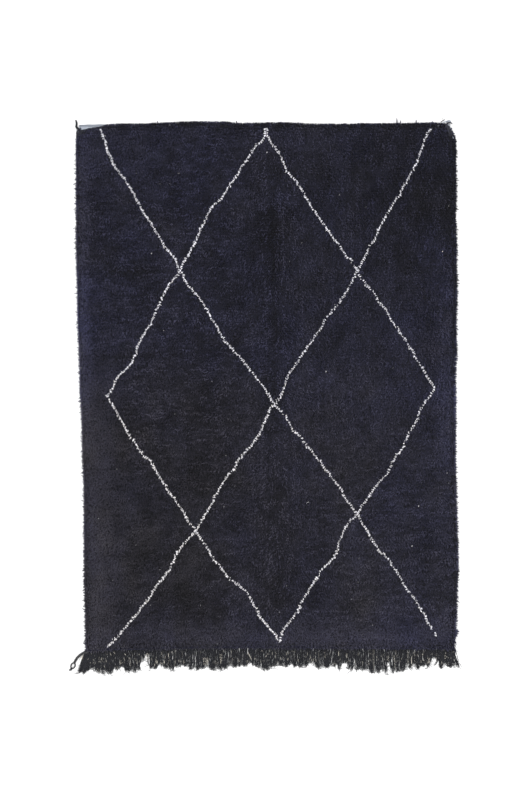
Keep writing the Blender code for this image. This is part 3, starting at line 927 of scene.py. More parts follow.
WASHES = rows(
    Wash,
    (150, 560, 0.42, 0.55, 0.08), (130, 420, 0.28, 0.45, 0.10), (400, 560, 0.35, 0.45, 0.24),
    (270, 643, 0.95, 0.085, 0.75), (97, 570, 0.085, 0.60, 1.00), (97, 320, 0.06, 0.20, 0.20),
    (79, 330, 0.038, 0.80, 1.75), (449, 440, 0.06, 0.60, 0.58), (82, 425, 0.05, 0.16, 0.45),
    (268, 428, 0.08, 0.12, -0.20), (447, 622, 0.05, 0.08, 0.25), (448, 350, 0.05, 0.30, 0.30),
    (84, 648, 0.09, 0.03, 0.60), (428, 475, 0.07, 0.22, -0.14), (380, 630, 0.45, 0.11, 0.30),
    (240, 590, 0.10, 0.12, 0.20), (190, 610, 0.20, 0.16, -0.26), (155, 500, 0.16, 0.18, -0.14),
    (205, 410, 0.16, 0.30, -0.12), (330, 420, 0.35, 0.45, 0.26), (90, 150, 0.12, 0.14, 0.22),
    (425, 180, 0.40, 0.38, -0.40), (240, 280, 0.30, 0.30, -0.12), (190, 145, 0.35, 0.08, 0.20),
    (335, 341, 0.10, 0.12, -0.16), (227, 292, 0.09, 0.09, -0.15), (267, 225, 0.07, 0.14, -0.15),
    (200, 465, 0.10, 0.08, -0.15), (343, 435, 0.08, 0.10, -0.15), (153, 555, 0.09, 0.07, -0.15),
    # The last four darken the crease: painted shade where the pile parts.
    (279, 530, 0.035, 0.40, -0.24), (272, 230, 0.035, 0.42, -0.20), (274, 350, 0.030, 0.50, -0.14),
    (277, 405, 0.04, 0.06, -0.22),
)


class Furrow(NamedTuple):
    """A line along which the pile parts and painted shade darkens it, between two places in the photograph.
    """

    start: Pair
    end: Pair
    # share of light that the painted shade takes at the line
    dark: float
    wide: float


FURROWS = rows(
    Furrow,
    ((92, 228), (170, 229), 0.5, 0.0045), ((80, 272), (160, 271), 0.5, 0.0045),
    ((85, 356), (150, 355), 0.5, 0.0045), ((110, 375), (185, 374), 0.5, 0.0045),
    ((90, 468), (180, 467), 0.5, 0.0050), ((100, 555), (190, 556), 0.5, 0.0050),
    ((357, 328), (313, 355), 0.4, 0.009), ((271, 150), (272, 262), 0.36, 0.015),
    ((277, 157), (279, 178), 0.45, 0.008), ((273, 262), (275, 398), 0.22, 0.014),
    ((279, 432), (280, 486), 0.42, 0.006), ((281, 487), (297, 511), 0.42, 0.0045),
    ((283, 524), (280, 575), 0.42, 0.018), ((279, 575), (279, 630), 0.22, 0.012),
    ((228, 527), (262, 527), 0.30, 0.0045), ((226, 486), (252, 482), 0.30, 0.0045),
)


class Calm(NamedTuple):
    """An area where the ends differ less than usual, between where it is full and where it ends."""

    less: float
    across: Pair  # the share across the rug where it ends, and over how much it sets in from there
    along: Pair


WHOLE = (2.0, 1.0)
CALM_AREAS = rows(
    Calm,
    (0.75, (0.17, 0.10), (0.80, 0.35)), (0.60, WHOLE, (0.08, 0.05)), (0.50, (0.42, 0.14), (0.40, 0.12)),
    (0.35, (0.42, 0.20), (0.82, -0.12)), (0.18, (0.56, -0.14), (0.42, 0.12)),
)


def fading(share: Array, end: Pair) -> Array:
    """1 well below an end and 0 beyond it, or the other way round where it sets in over less than nothing."""
    return smooth((end[0] - share) / end[1])


@dataclass
class Pile:
    """The knotted pile: rows of knots of two yarn ends each, whose nap lies towards the fringe."""

    cloth: Cloth
    row_pitch: float = 0.0112
    knot_pitch: float = 0.0108
    stagger: float = 0.25  # of the knot pitch, to either side from row to row
    bands: int = 5
    jitter: float = 0.0016
    thick: Pair = (0.0038, 0.0054)
    reach: Pair = (0.009, 0.019)  # how far an end lies over
    end_gap: float = 0.0042  # between the two ends of a knot
    pair_turn: float = 0.35  # and how far they turn from one another
    top_vary: float = 0.0022
    shortest: float = 0.006
    sunk: float = 0.001  # how far below the ground's top an end starts
    rising: Pair = (0.55, 1.08)  # height of an end's two bends over its own
    lying: Pair = (0.05, 0.35)  # and how far they lie over, of its reach
    tip_tall: Pair = (0.72, 1.0)
    fan: float = 0.60  # turn away from the crease beside it
    fan_steep: float = 0.02
    fan_wide: float = 0.24
    broad_turn: Pair = (0.45, 0.22)  # how far the nap turns, and over what width
    small_turn: Pair = (0.45, 0.055)
    end_turn: float = 0.50
    level_turn: float = 0.4  # how much more the ends turn where the streaks run across
    furrow: float = 0.0045  # how far rows part and close in the furrows
    furrow_wide: float = 0.042
    furrow_long: float = 7.0  # over its width
    streak: Pair = (0.0055, 0.036)  # a tuft's streak across and along the way it lies
    usual_light: float = 0.80
    streak_light: float = 2.3
    patch_light: float = 0.36
    light_wide: Pair = (0.05, 0.13)  # the patches' sizes
    broad_share: float = 0.6
    end_light: float = 0.33
    light_range: Pair = (0.3, 2.6)
    light_warm: float = 0.10  # how much greyer the lightest ends are
    navy: float = 0.17  # warmth where the dye is deepest
    faded: float = 0.52  # and how much warmer it gets
    faded_less: tuple[Pair, Pair] = ((0.30, 0.4), (0.75, 0.32))  # from which share across, by how much
    faded_step: float = 0.15
    faded_near: Pair = (0.62, 0.25)
    patch_warm: float = 0.22
    warm_wide: Pair = (0.07, 0.22)
    end_warm: float = 0.06
    usual_contrast: float = 1.12
    crease_contrast: Pair = (0.60, 0.10)  # how much more, and over what width
    level_left: float = 0.25  # over what width the streaks come to run across, left of the crease
    level_right: Pair = (0.02, 0.2)
    level_far: float = 0.25  # how much they do in the far half
    level_near: Pair = (0.5, 0.25)
    edge_lean: float = 0.7  # turn of the nap outwards at the side edges
    edge_wide: float = 0.012

    def __post_init__(self) -> None:
        """Lays out the knots."""
        self.rows = round(self.cloth.length / self.row_pitch)
        mean_width = float(np.mean(self.cloth.right(np.zeros(1)) - self.cloth.left(np.zeros(1))))
        self.columns = round(mean_width / self.knot_pitch)
        self.taken = np.zeros((self.rows, self.columns), bool)

    def shift(self, row: Array) -> Array:
        """How far a row's knots stand aside of their columns' middles."""
        return self.stagger * (row % 2 * 2 - 1)

    def knots(self) -> tuple[Array, Array, Array]:
        """Lays out the knots that the lattice hasn't taken and that aren't on bare ground.

        Returns:
            Each knot's row, x and y.
        """
        rng = Seed.KNOTS.source()
        row, column = (part.ravel() for part in np.indices((self.rows, self.columns)))
        x, y = self.cloth.at((column + 0.5 + self.shift(row)) / self.columns, (row + 0.5) / self.rows)
        x, y = (part + rng.normal(0.0, self.jitter, part.shape) for part in (x, y))
        free = (self.cloth.bare(x, y) < BARE) & ~self.taken[row, column]
        return row[free], x[free], y[free]

    def nap(self, x: Array, y: Array) -> Array:
        """The way in which the pile lies.

        Args:
            x: places across.
            y: places along.

        Returns:
            The angle at each place, from the way to the fringe.
        """
        away = x - self.cloth.crease(y)
        fan = self.fan * np.tanh(away / self.fan_steep) * np.exp(-np.abs(away) / self.fan_wide)
        broad = self.broad_turn[0] * noise_field(x, y, self.broad_turn[1], Layer.BROAD_NAP)
        small = self.small_turn[0] * noise_field(x, y, self.small_turn[1], Layer.SMALL_NAP)
        from_left = np.exp(-np.maximum(x - self.cloth.left(y), 0.0) / self.edge_wide)
        from_right = np.exp(-np.maximum(self.cloth.right(y) - x, 0.0) / self.edge_wide)
        return fan + broad + small + self.edge_lean * (from_right - from_left)

    def tone(self, x: Array, y: Array, rng: Random) -> tuple[Array, Array]:
        """How light and how warm each end is.

        Args:
            x: the ends' places across.
            y: their places along.
            rng: the batch's random source.

        Returns:
            The ends' lightness, around 1, and their warmth.
        """
        light, warm = self.wash_tone(x, y)
        narrow, long = self.streak
        upright = noise_field(x / narrow, y / long, 1.0, Layer.UPRIGHT)
        level = noise_field(x / long, y / narrow, 1.0, Layer.LEVEL)
        lying = self.level(x, y)
        streaks = self.streak_light * (upright * (1.0 - lying) + level * lying)
        light = light + self.contrast(x, y) * (streaks + self.end_light * rng.uniform(-1.0, 1.0, x.shape))
        # Painted shade down in the furrows.
        light = light * (1.0 - self.furrow_shade(x, y))
        warm = warm + rng.normal(0.0, self.end_warm, x.shape) + self.light_warm * (light - 1.0)
        return np.clip(light, *self.light_range), np.clip(warm, 0.0, 1.0)

    def wash_tone(self, x: Array, y: Array) -> tuple[Array, Array]:
        """How light and how warm the wool is around each place.

        Args:
            x: places across.
            y: places along.

        Returns:
            The lightness and the warmth.
        """
        small, broad = self.light_wide
        patches = noise_field(x, y, small, Layer.SMALL_LIGHT)
        patches = patches + self.broad_share * noise_field(x, y, broad, Layer.BROAD_LIGHT)
        light = self.patch_light * patches + self.usual_light
        small, broad = self.warm_wide
        patches = noise_field(x, y, small, Layer.SMALL_WARMTH) + noise_field(x, y, broad, Layer.BROAD_WARMTH)
        for wash in WASHES:
            wash_x, wash_y = self.cloth.pixel(wash.px, wash.py)
            share = np.exp(-(((x - wash_x) / wash.wide) ** 2) - ((y - wash_y) / wash.tall) ** 2)
            light = light + wash.light * share
        return light, self.hue(x, y) + self.patch_warm * patches

    def level(self, x: Array, y: Array) -> Array:
        """How much the streaks run across the rug rather than along it.

        Args:
            x: places across.
            y: places along.

        Returns:
            0 along the crease, up to 1 away from it.
        """
        away = x - self.cloth.crease(y)
        _, along = self.cloth.shares(x, y)
        start, wide = self.level_right
        near = self.level_far + (1.0 - self.level_far) * fading(along, self.level_near)
        return np.maximum(smooth(-away / self.level_left), smooth((away - start) / wide) * near)

    def contrast(self, x: Array, y: Array) -> Array:
        """How much the ends differ: most along the crease, less in the calm areas.

        Args:
            x: places across.
            y: places along.

        Returns:
            The contrast at each place, around 1.
        """
        across, along = self.cloth.shares(x, y)
        more, wide = self.crease_contrast
        crease = np.exp(-(((x - self.cloth.crease(y)) / wide) ** 2))
        less = [fading(across, calm.across) * fading(along, calm.along) * calm.less for calm in CALM_AREAS]
        return (self.usual_contrast + more * crease) * (1.0 - np.maximum.reduce(less))

    def hue(self, x: Array, y: Array) -> Array:
        """How faded the navy is: not at all at the far end, brown by the fringe, most of all at the left.

        Args:
            x: places across.
            y: places along.

        Returns:
            The warmth at each place.
        """
        across, along = self.cloth.shares(x, y)
        most = 1.0
        for start, less in self.faded_less:
            most = most - less * smooth((across - start) / self.faded_step)
        return self.navy + self.faded * most * fading(along, self.faded_near)

    def furrow_shade(self, x: Array, y: Array) -> Array:
        """How much painted shade darkens the wool down in the charted furrows.

        Args:
            x: places across.
            y: places along.

        Returns:
            The share of its light that is lost at each place.
        """
        dark = np.zeros_like(x)
        for furrow in FURROWS:
            start, end = (np.array(self.cloth.pixel(*spot)) for spot in (furrow.start, furrow.end))
            step = end - start
            share = ((x - start[0]) * step[0] + (y - start[1]) * step[1]) / (step @ step)
            share = np.clip(share, 0.0, 1.0)
            away = np.hypot(x - start[0] - share * step[0], y - start[1] - share * step[1])
            dark = np.maximum(dark, furrow.dark * np.exp(-((away / furrow.wide) ** 2)))
        return dark

    def ends(
        self,
        x: Array,
        y: Array,
        rng: Random,
        turn: Array | float = 0.0,
        lift: Array | float = 0.0,
        loose: float = 1.0,
        share: float = 1.0,
    ) -> Yarns:
        """One yarn end at each place, lying over with the nap.

        Args:
            x: places across.
            y: places along.
            rng: the batch's random source.
            turn: an extra turn of each end.
            lift: how far above the pile's top the ends may come.
            loose: how much of the nap's own turn the ends follow.
            share: how far they lie over, of the pile's usual reach.

        Returns:
            The batch.
        """
        count = len(x)
        own_turn = rng.normal(0.0, self.end_turn, count) * (1.0 + self.level_turn * self.level(x, y))
        over = polar((self.nap(x, y) + own_turn) * loose + turn)
        over = over * (rng.uniform(*self.reach, count) * share)[:, None]
        over[:, 1] += self.furrow * noise_field(x / self.furrow_long, y, self.furrow_wide, Layer.FURROWS)
        ground = self.cloth.ground_thick
        tall = self.cloth.top(x, y) - ground + lift + rng.normal(0.0, self.top_vary, count)
        tall = np.maximum(tall, self.shortest)
        root = np.stack([x, y, np.full(count, ground - self.sunk)], axis=1)
        bends = [
            UP * (rise * tall)[:, None] + over * lie for rise, lie in zip(self.rising, self.lying)
        ]
        bends.append(UP * tall[:, None] * rng.uniform(*self.tip_tall, count)[:, None] + over)
        light, warm = self.tone(x, y, rng)
        return Yarns.make(root, bends, rng.uniform(*self.thick, count), light, warm)

    def build(self, finish: Material) -> list[Piece]:
        """Makes the pile in bands across the rug.

        Args:
            finish: the dark wool.

        Returns:
            One piece for each band, from the fringe end up.
        """
        rng = Seed.ENDS.source()
        row, x, y = self.knots()
        form = YarnForm(sides=3, rings=2, spread=0.55, tip=0.45)
        made = []
        for band in range(self.bands):
            mine = (row * self.bands // self.rows) == band
            halves = [
                self.ends(x[mine] + side * self.end_gap, y[mine], rng, turn=side * self.pair_turn)
                for side in (-0.5, 0.5)
            ]
            made.append(form.spin(f"pile_band_{band + 1}", Yarns.join(halves), finish))
        return made


@dataclass
class PileBed:
    """The dense lower part of the pile, where no single end shows: a lumpy surface under the ends, darker
    than they are as painted shade deep in the pile.
    """

    pile: Pile
    across: int = 48
    along: int = 68
    shade: float = 0.53  # over the ends' own: painted shade deep in the pile
    share: float = 0.52  # of the pile's height
    inset: float = 0.006
    vary: float = 0.002
    lowest: float = 0.0002
    sunk: float = 0.0005  # how far its underside lies below the ground's top

    def build(self, finish: Material) -> Piece:
        """Makes the bed as a closed slab on the ground weave.

        Args:
            finish: the bed's wool.

        Returns:
            The piece.
        """
        rng = Seed.BED.source()
        u, v = grid_shares(self.across, self.along)
        cloth = self.pile.cloth
        x, y = cloth.at(u, v, self.inset)
        ground = cloth.ground_thick
        tall = (cloth.top(x, y) - ground) * self.share + rng.normal(0.0, self.vary, x.shape)
        tall = np.maximum(tall * (1.0 - cloth.bare(x, y)), self.lowest)
        z = np.where(u * (1 - u) * v * (1 - v) == 0.0, ground, ground + tall)
        piece = slab_piece("pile_bed", x, y, z, ground - self.sunk, (self.across, self.along))
        light, warm = self.pile.wash_tone(x, y)
        # Painted shade in the furrows and deep in the pile.
        light = light * (1.0 - self.pile.furrow_shade(x, y)) * self.shade
        for name, values in (("shade", light), ("warmth", np.clip(warm, 0.0, 1.0))):
            store_values(piece.data, name, np.tile(values, 2))
        piece.data.materials.append(finish)
        return piece


def slab_piece(name: str, x: Array, y: Array, top: Array, bottom: float, cells: tuple[int, int]) -> Piece:
    """Makes a closed slab over a grid.

    Args:
        name: the piece's name.
        x: the grid points' places across, column by column.
        y: their places along.
        top: the height of the upper face at each.
        bottom: the height of the lower face.
        cells: the number of cells across and along.

    Returns:
        The slab, shaded smooth. Its first points are the upper face's.
    """
    across, along = cells
    count = (across + 1) * (along + 1)
    points = np.concatenate([np.stack([x, y, z], 1) for z in (top, np.full(x.shape, bottom))])
    number = np.arange(count).reshape(across + 1, along + 1)
    corners = number[:-1, :-1], number[1:, :-1], number[1:, 1:], number[:-1, 1:]
    upper = np.stack(corners, -1).reshape(-1, 4)
    loop = np.concatenate([number[:-1, 0], number[-1, :-1], number[:0:-1, -1], number[0, :0:-1]])
    after = np.roll(loop, -1)
    walls = np.stack([loop, loop + count, after + count, after], -1)
    faces = np.concatenate([upper, upper[:, ::-1] + count, walls])
    mesh = bpy.data.meshes.new(name)
    mesh.from_pydata(points.tolist(), [], faces.tolist())
    mesh.validate()
    mesh.shade_smooth()
    return add_piece(name, mesh)


class Strand(NamedTuple):
    """A single yarn or fibre, charted at its two ends and its middle in the photograph's pixels."""

    start: Pair
    middle: Pair
    end: Pair
    thick: float
    warmth: float  # 0 for the finish's dark wool and 1 for its pale one
    high: float = 0.004  # height above the floor, or above the pile's top where it lies on the pile
    shade: float = 1.0


def strand_batch(cloth: Cloth, strands: Sequence[Strand], on_pile: bool = False) -> Yarns:
    """Turns charted strands into a batch of yarns.

    Args:
        cloth: the cloth that they belong to.
        strands: the strands.
        on_pile: whether their heights count from the pile's top.

    Returns:
        The batch.
    """
    spots = []
    for part in ("start", "middle", "end"):
        px, py = np.array([getattr(strand, part) for strand in strands]).T
        x, y = cloth.pixel(px, py)
        z = np.array([strand.high for strand in strands])
        z = z + cloth.top(x, y) if on_pile else z
        spots.append(np.stack([x, y, z], axis=1))
    start, middle, end = spots
    pull = middle * 2.0 - (start + end) / 2.0
    bends = ((pull - start) / 1.5, (end - start) + (pull - end) / 1.5, end - start)
    names = ("thick", "shade", "warmth")
    columns = [np.array([getattr(strand, name) for strand in strands]) for name in names]
    return Yarns.make(start, bends, *columns)


def headings(line: Array, closed: bool) -> Array:
    """The way that a line runs.

    Args:
        line: its points.
        closed: whether it is a loop.

    Returns:
        A unit vector at each point.
    """
    if closed:
        return unit(np.roll(line, -1, axis=0) - np.roll(line, 1, axis=0))
    return unit(np.gradient(line, axis=0))


@dataclass
class Cord:
    """A round cord along a line of points."""

    line: Array
    radius: Array | float
    shade: float
    warmth: float = 0.0
    closed: bool = False

    def rings(self, sides: int) -> Array:
        """The points of the rings around the line.

        Args:
            sides: how many points each ring has.

        Returns:
            An array of rings of points.
        """
        heading = headings(self.line, self.closed)
        side = unit(np.cross(UP, heading))
        rise = np.cross(heading, side)
        angle = (np.arange(sides) * math.tau / sides)[None, :, None]
        radius = np.broadcast_to(self.radius, len(self.line))[:, None, None]
        out = np.cos(angle) * side[:, None] + np.sin(angle) * rise[:, None]
        return self.line[:, None] + out * radius


def twist(
    line: Array, turns: float, out: float, radius: Array | float, shade: float, **more: object
) -> list[Cord]:
    """Lays two plies around a line.

    Args:
        line: the cord's middle line.
        turns: how many times the plies turn around it.
        out: how far they lie off it.
        radius: their own radius.
        shade: their lightness.
        more: their warmth, and whether the cord is closed.

    Returns:
        The plies.
    """
    closed = bool(more.get("closed"))
    share = np.arange(len(line)) / (len(line) if closed else len(line) - 1)
    heading = headings(line, closed)
    side = np.cross(UP, heading)
    rise = np.cross(heading, side)
    cords = []
    for k in range(2):
        angle = (share * turns + k / 2)[:, None] * math.tau
        ply = line + (side * np.cos(angle) + rise * np.sin(angle)) * out
        cords.append(Cord(ply, radius, shade, **more))
    return cords


def smooth_line(spots: Sequence[Sequence[float]], count: int, steps: int = 8) -> Array:
    """Points evenly spread on a smooth curve.

    Args:
        spots: the points that the curve runs through.
        count: how many points to give back.
        steps: how many are worked out from each spot to the next.

    Returns:
        The points, a row each.
    """
    spots = np.array(spots, float)
    ends = np.concatenate([[spots[0] * 2 - spots[1]], spots, [spots[-1] * 2 - spots[-2]]])
    line = []
    for a, b, c, d in zip(ends, ends[1:], ends[2:], ends[3:]):
        for t in np.linspace(0.0, 1.0, steps, endpoint=False):
            bend = (a * 2 - b * 5 + c * 4 - d) * t**2 / 2
            line.append(b + (c - a) * t / 2 + bend + (b * 3 - a - c * 3 + d) * t**3 / 2)
    line = np.array([*line, spots[-1]])
    gone = distances(line)
    at = np.linspace(0.0, gone[-1], count)
    return np.stack([np.interp(at, gone, line[:, k]) for k in range(line.shape[1])], axis=1)


def cord_piece(name: str, cords: Sequence[Cord], sides: int, finish: Material) -> Piece:
    """Makes one piece of several cords.

    Args:
        name: the piece's name.
        cords: the cords.
        sides: how many sides each has.
        finish: the material that it gets.

    Returns:
        The piece, shaded smooth, with its faces outwards.
    """
    draft = bmesh.new()
    layers = [draft.verts.layers.float.new(part) for part in ("along", "shade", "warmth")]
    for cord in cords:
        made = []
        for ring in cord.rings(sides):
            made.append([draft.verts.new(point) for point in ring])
            for vert in made[-1]:
                for layer, value in zip(layers, (CORD_ALONG, cord.shade, cord.warmth)):
                    vert[layer] = value
        for row, after in zip(made, made[1:] + (made[:1] if cord.closed else [])):
            for k in range(sides):
                n = (k + 1) % sides
                draft.faces.new((row[k], row[n], after[n], after[k]))
        if not cord.closed:
            draft.faces.new(made[0][::-1])
            draft.faces.new(made[-1])
    bmesh.ops.recalc_face_normals(draft, faces=draft.faces)
    mesh = bpy.data.meshes.new(name)
    draft.to_mesh(mesh)
    draft.free()
    mesh.shade_smooth()
    mesh.materials.append(finish)
    return add_piece(name, mesh)


class Bulge(NamedTuple):
    """Where the wool at the right edge comes out further, or less far: photo row, half height and pixels."""

    py: float
    tall: float
    out: float


RIGHT_BULGES = rows(
    Bulge,
    (190.0, 14.0, 0.4), (217.0, 13.0, -0.8), (318.0, 10.0, -0.9), (354.0, 13.0, 1.1), (408.0, 34.0, 1.6),
    (525.0, 30.0, 0.6), (560.0, 20.0, 0.5), (592.0, 7.0, -0.6), (616.0, 10.0, 0.6), (633.0, 4.0, 2.4),
    (647.0, 5.0, -0.8),
)


@dataclass(frozen=True)
class SideWool:
    """How the wool stands at one of the long edges: a close row of ends, and tufts that come out further."""

    way: float  # 1 where the way out of the rug is along +X, and -1 where it is against it
    fill: Pair  # how far the close row comes beyond the edge
    pitch: float  # between tufts
    reach: Pair  # how far the middle of a tuft comes beyond the edge
    spread: float  # how wide it is


LEFT_WOOL = SideWool(-1.0, (-0.0020, 0.0010), 0.0122, (0.0022, 0.0064), 0.0023)
RIGHT_WOOL = SideWool(1.0, (0.0006, 0.0024), 0.0098, (0.0024, 0.0092), 0.0018)
LEAN_CURVE = ((0.8, 0.15, 0.0), (1.0, 0.65, 0.5))  # how far up, out and aside an end's two bends lie


@dataclass
class Rim:
    """What shows at the outline: tufts that lean out over the edges, and the cords that bind the sides."""

    pile: Pile
    fill_pitch: float = 0.0020
    fill_vary: float = 0.001
    fill_sway: float = 0.002  # how far an end of the close row leans along the edge
    tuft_ends: int = 7
    tuft_vary: float = 0.2  # of the pitch
    tuft_wide: Pair = (1.3, 0.8)  # how far its ends stand apart and their tips come back, of its spread
    tuft_round: float = 0.45
    start: float = -0.002  # from the fringe end of the cloth
    stop: float = 0.016  # before its plain end
    even_long: float = 0.32  # how far the left edge is even from there
    even_less: float = 0.6  # and how much shorter its tufts are
    even_step: float = 0.10
    far_span: Pair = (-0.85, 0.845)
    far_fill: Pair = (0.0010, 0.0028)
    far_bare: float = 0.004  # how far inside the plain end bare ground is looked for
    far_waves: Pair = (0.002, 0.02)
    far_sway: float = 0.0015
    root_in: Pair = (0.007, 0.0015)  # how far inside the edge an end starts, and by how much that differs
    root_high: float = 0.003
    tall: Pair = (0.35, 0.95)  # of the pile's height
    tip_tall: Pair = (0.3, 0.8)  # of the end's own
    tip_drop: float = 0.002
    thick: Pair = (0.0042, 0.0058)
    cord_turns: float = 50.0
    cord_in: float = 0.0034
    cord_high: float = 0.0039
    cord_points: int = 240
    cord_ply: Pair = (0.0011, 0.002325)  # how far a ply lies off the cord's middle, and its radius
    cord_shade: float = 0.7
    weft_in: Pair = (0.0005, 0.004)
    weft_high: float = 0.0045
    weft_points: int = 200
    weft_ply: Pair = (0.0010, 0.0021)
    weft_shade: float = 0.6

    def leaning(self, x: Array, y: Array, way: Pair, reach: Array, aside: Array, rng: Random) -> Yarns:
        """Ends that stand near the edge and lean over it.

        Args:
            x: where on the edge they lean over, across.
            y: and along.
            way: the way out of the rug.
            reach: how far beyond the edge they come.
            aside: how far along the edge their tips lie from there.
            rng: the rim's random source.

        Returns:
            The batch.
        """
        count = len(x)
        out = np.array([*way, 0.0])
        along = np.array([abs(way[1]), abs(way[0]), 0.0]) * aside[:, None]
        inner = rng.normal(*self.root_in, count)
        root = np.stack([x, y, np.full(count, self.root_high)], axis=1) - out * inner[:, None]
        top = self.pile.cloth.top(x, y) * rng.uniform(*self.tall, count)
        whole = out * (inner + reach)[:, None]
        bends = [
            UP * (rise * top)[:, None] + whole * share + along * sway for rise, share, sway in LEAN_CURVE
        ]
        tip = top * rng.uniform(*self.tip_tall, count) - self.tip_drop
        bends.append(UP * tip[:, None] + whole + along)
        light, warm = self.pile.tone(x, y, rng)
        return Yarns.make(root, bends, rng.uniform(*self.thick, count), light, warm)

    def bulge(self, y: Array) -> Array:
        """How much further than usual the wool comes out at the right edge.

        Args:
            y: places along the edge.

        Returns:
            The distance at each place.
        """
        cloth = self.pile.cloth
        py = cloth.end_pixel - (y - cloth.origin[1]) / cloth.metres_per_pixel
        out = sum(spot.out * np.exp(-(((py - spot.py) / spot.tall) ** 2)) for spot in RIGHT_BULGES)
        return cloth.metres_per_pixel * out

    def side(self, wool: SideWool, rng: Random) -> list[Yarns]:
        """A side edge's close row of ends and its tufts.

        Args:
            wool: how the wool stands at that edge.
            rng: the rim's random source.

        Returns:
            The two batches.
        """
        cloth = self.pile.cloth
        right = wool is RIGHT_WOOL
        edge = cloth.right if right else cloth.left
        way = (wool.way, 0.0)
        low, high = cloth.origin[1] + self.start, cloth.origin[1] + cloth.length - self.stop
        fill = np.arange(low, high, self.fill_pitch)
        fill = fill + rng.normal(0.0, self.fill_vary, len(fill))
        reach = rng.uniform(*wool.fill, len(fill)) + (self.bulge(fill) if right else 0.0)
        aside = rng.normal(0.0, self.fill_sway, len(fill))
        batches = [self.leaning(edge(fill), fill, way, reach, aside, rng)]
        middle = np.arange(low, high, wool.pitch)
        middle = middle + rng.normal(0.0, self.tuft_vary * wool.pitch, len(middle))
        tall = rng.uniform(*wool.reach, len(middle))
        if right:
            tall = tall + self.bulge(middle)
        else:
            even = smooth((middle - high + self.even_long) / self.even_step)
            tall = tall * (1.0 - self.even_less * even)
        pick = np.repeat(np.arange(len(middle)), self.tuft_ends)
        own = rng.uniform(-1.0, 1.0, len(pick))
        apart, back = self.tuft_wide
        y = middle[pick] + own * wool.spread * apart
        out = tall[pick] * (1.0 - self.tuft_round * own**2)
        batches.append(self.leaning(edge(y), y, way, out, -own * wool.spread * back, rng))
        return batches

    def far_side(self, rng: Random) -> Yarns:
        """The plain end's close row of short ends.

        Args:
            rng: the rim's random source.

        Returns:
            The batch.
        """
        cloth = self.pile.cloth
        x = np.arange(*(cloth.origin[0] + end for end in self.far_span), self.fill_pitch)
        x = x + rng.normal(0.0, self.fill_vary, len(x))
        y = cloth.far(x)
        x, y = (part[cloth.bare(x, y - self.far_bare) < BARE] for part in (x, y))
        tall, wide = self.far_waves
        reach = rng.uniform(*self.far_fill, len(x)) + tall * noise_field(x, y, wide, Layer.RIM)
        return self.leaning(x, y, (0.0, 1.0), reach, rng.normal(0.0, self.far_sway, len(x)), rng)

    def build(self, finish: Material) -> Piece:
        """Makes the tufts.

        Args:
            finish: the dark wool.

        Returns:
            The piece.
        """
        rng = Seed.RIM.source()
        batches = [*self.side(LEFT_WOOL, rng), *self.side(RIGHT_WOOL, rng), self.far_side(rng)]
        batches.append(strand_batch(self.pile.cloth, RIM_SPIKES))
        form = YarnForm(sides=3, rings=2, spread=0.8, tip=0.35, blunt=0.6)
        return form.spin("rim_tufts", Yarns.join(batches), finish)

    def build_cords(self, finish: Material) -> Piece:
        """Makes the two side cords, and the last wefts at the fringe's roots.

        Args:
            finish: the dark wool.

        Returns:
            The piece.
        """
        cloth = self.pile.cloth
        cords = []
        low, high = cloth.origin[1] - self.start, cloth.origin[1] + cloth.length - self.stop
        y = np.linspace(low, high, self.cord_points)
        for edge, way in ((cloth.left, 1.0), (cloth.right, -1.0)):
            line = np.stack([edge(y) + way * self.cord_in, y, np.full(len(y), self.cord_high)], axis=1)
            cords += twist(line, self.cord_turns, *self.cord_ply, shade=self.cord_shade)
        ends = (cloth.strip_left - self.start, cloth.strip_right + self.start)
        x = np.linspace(*(cloth.origin[0] + end for end in ends), self.weft_points)
        for inner in self.weft_in:
            line = np.stack([x, cloth.near(x) + inner, np.full(len(x), self.weft_high)], axis=1)
            cords += twist(line, self.cord_turns, *self.weft_ply, shade=self.weft_shade)
        return cord_piece("edge_cords", cords, 4, finish)


RIM_SPIKES = rows(
    Strand,
    ((397.2, 125.0), (397.3, 121.0), (397.0, 117.6), 0.0066, 0.0, 0.012),
    ((400.6, 125.0), (400.8, 122.5), (400.9, 120.2), 0.0066, 0.0, 0.012),
    ((416.6, 124.5), (416.5, 122.0), (416.4, 119.4), 0.0068, 0.0, 0.012),
    ((432.8, 124.0), (432.7, 122.5), (432.5, 120.9), 0.0066, 0.0, 0.012),
    ((157.6, 124.0), (157.5, 122.5), (157.4, 120.8), 0.0068, 0.0, 0.012),
    ((236.7, 123.0), (236.6, 121.8), (236.5, 120.6), 0.0066, 0.0, 0.012),
    ((87.0, 643.7), (84.6, 643.5), (82.3, 643.2), 0.0050, 0.0, 0.006),
    ((87.0, 644.4), (84.8, 644.2), (83.0, 643.7), 0.0050, 0.0, 0.005),
    ((455.4, 649.2), (456.0, 650.8), (455.9, 652.2), 0.0050, 0.0, 0.005),
    ((454.8, 649.4), (455.6, 651.4), (455.6, 653.3), 0.0050, 0.0, 0.005),
)
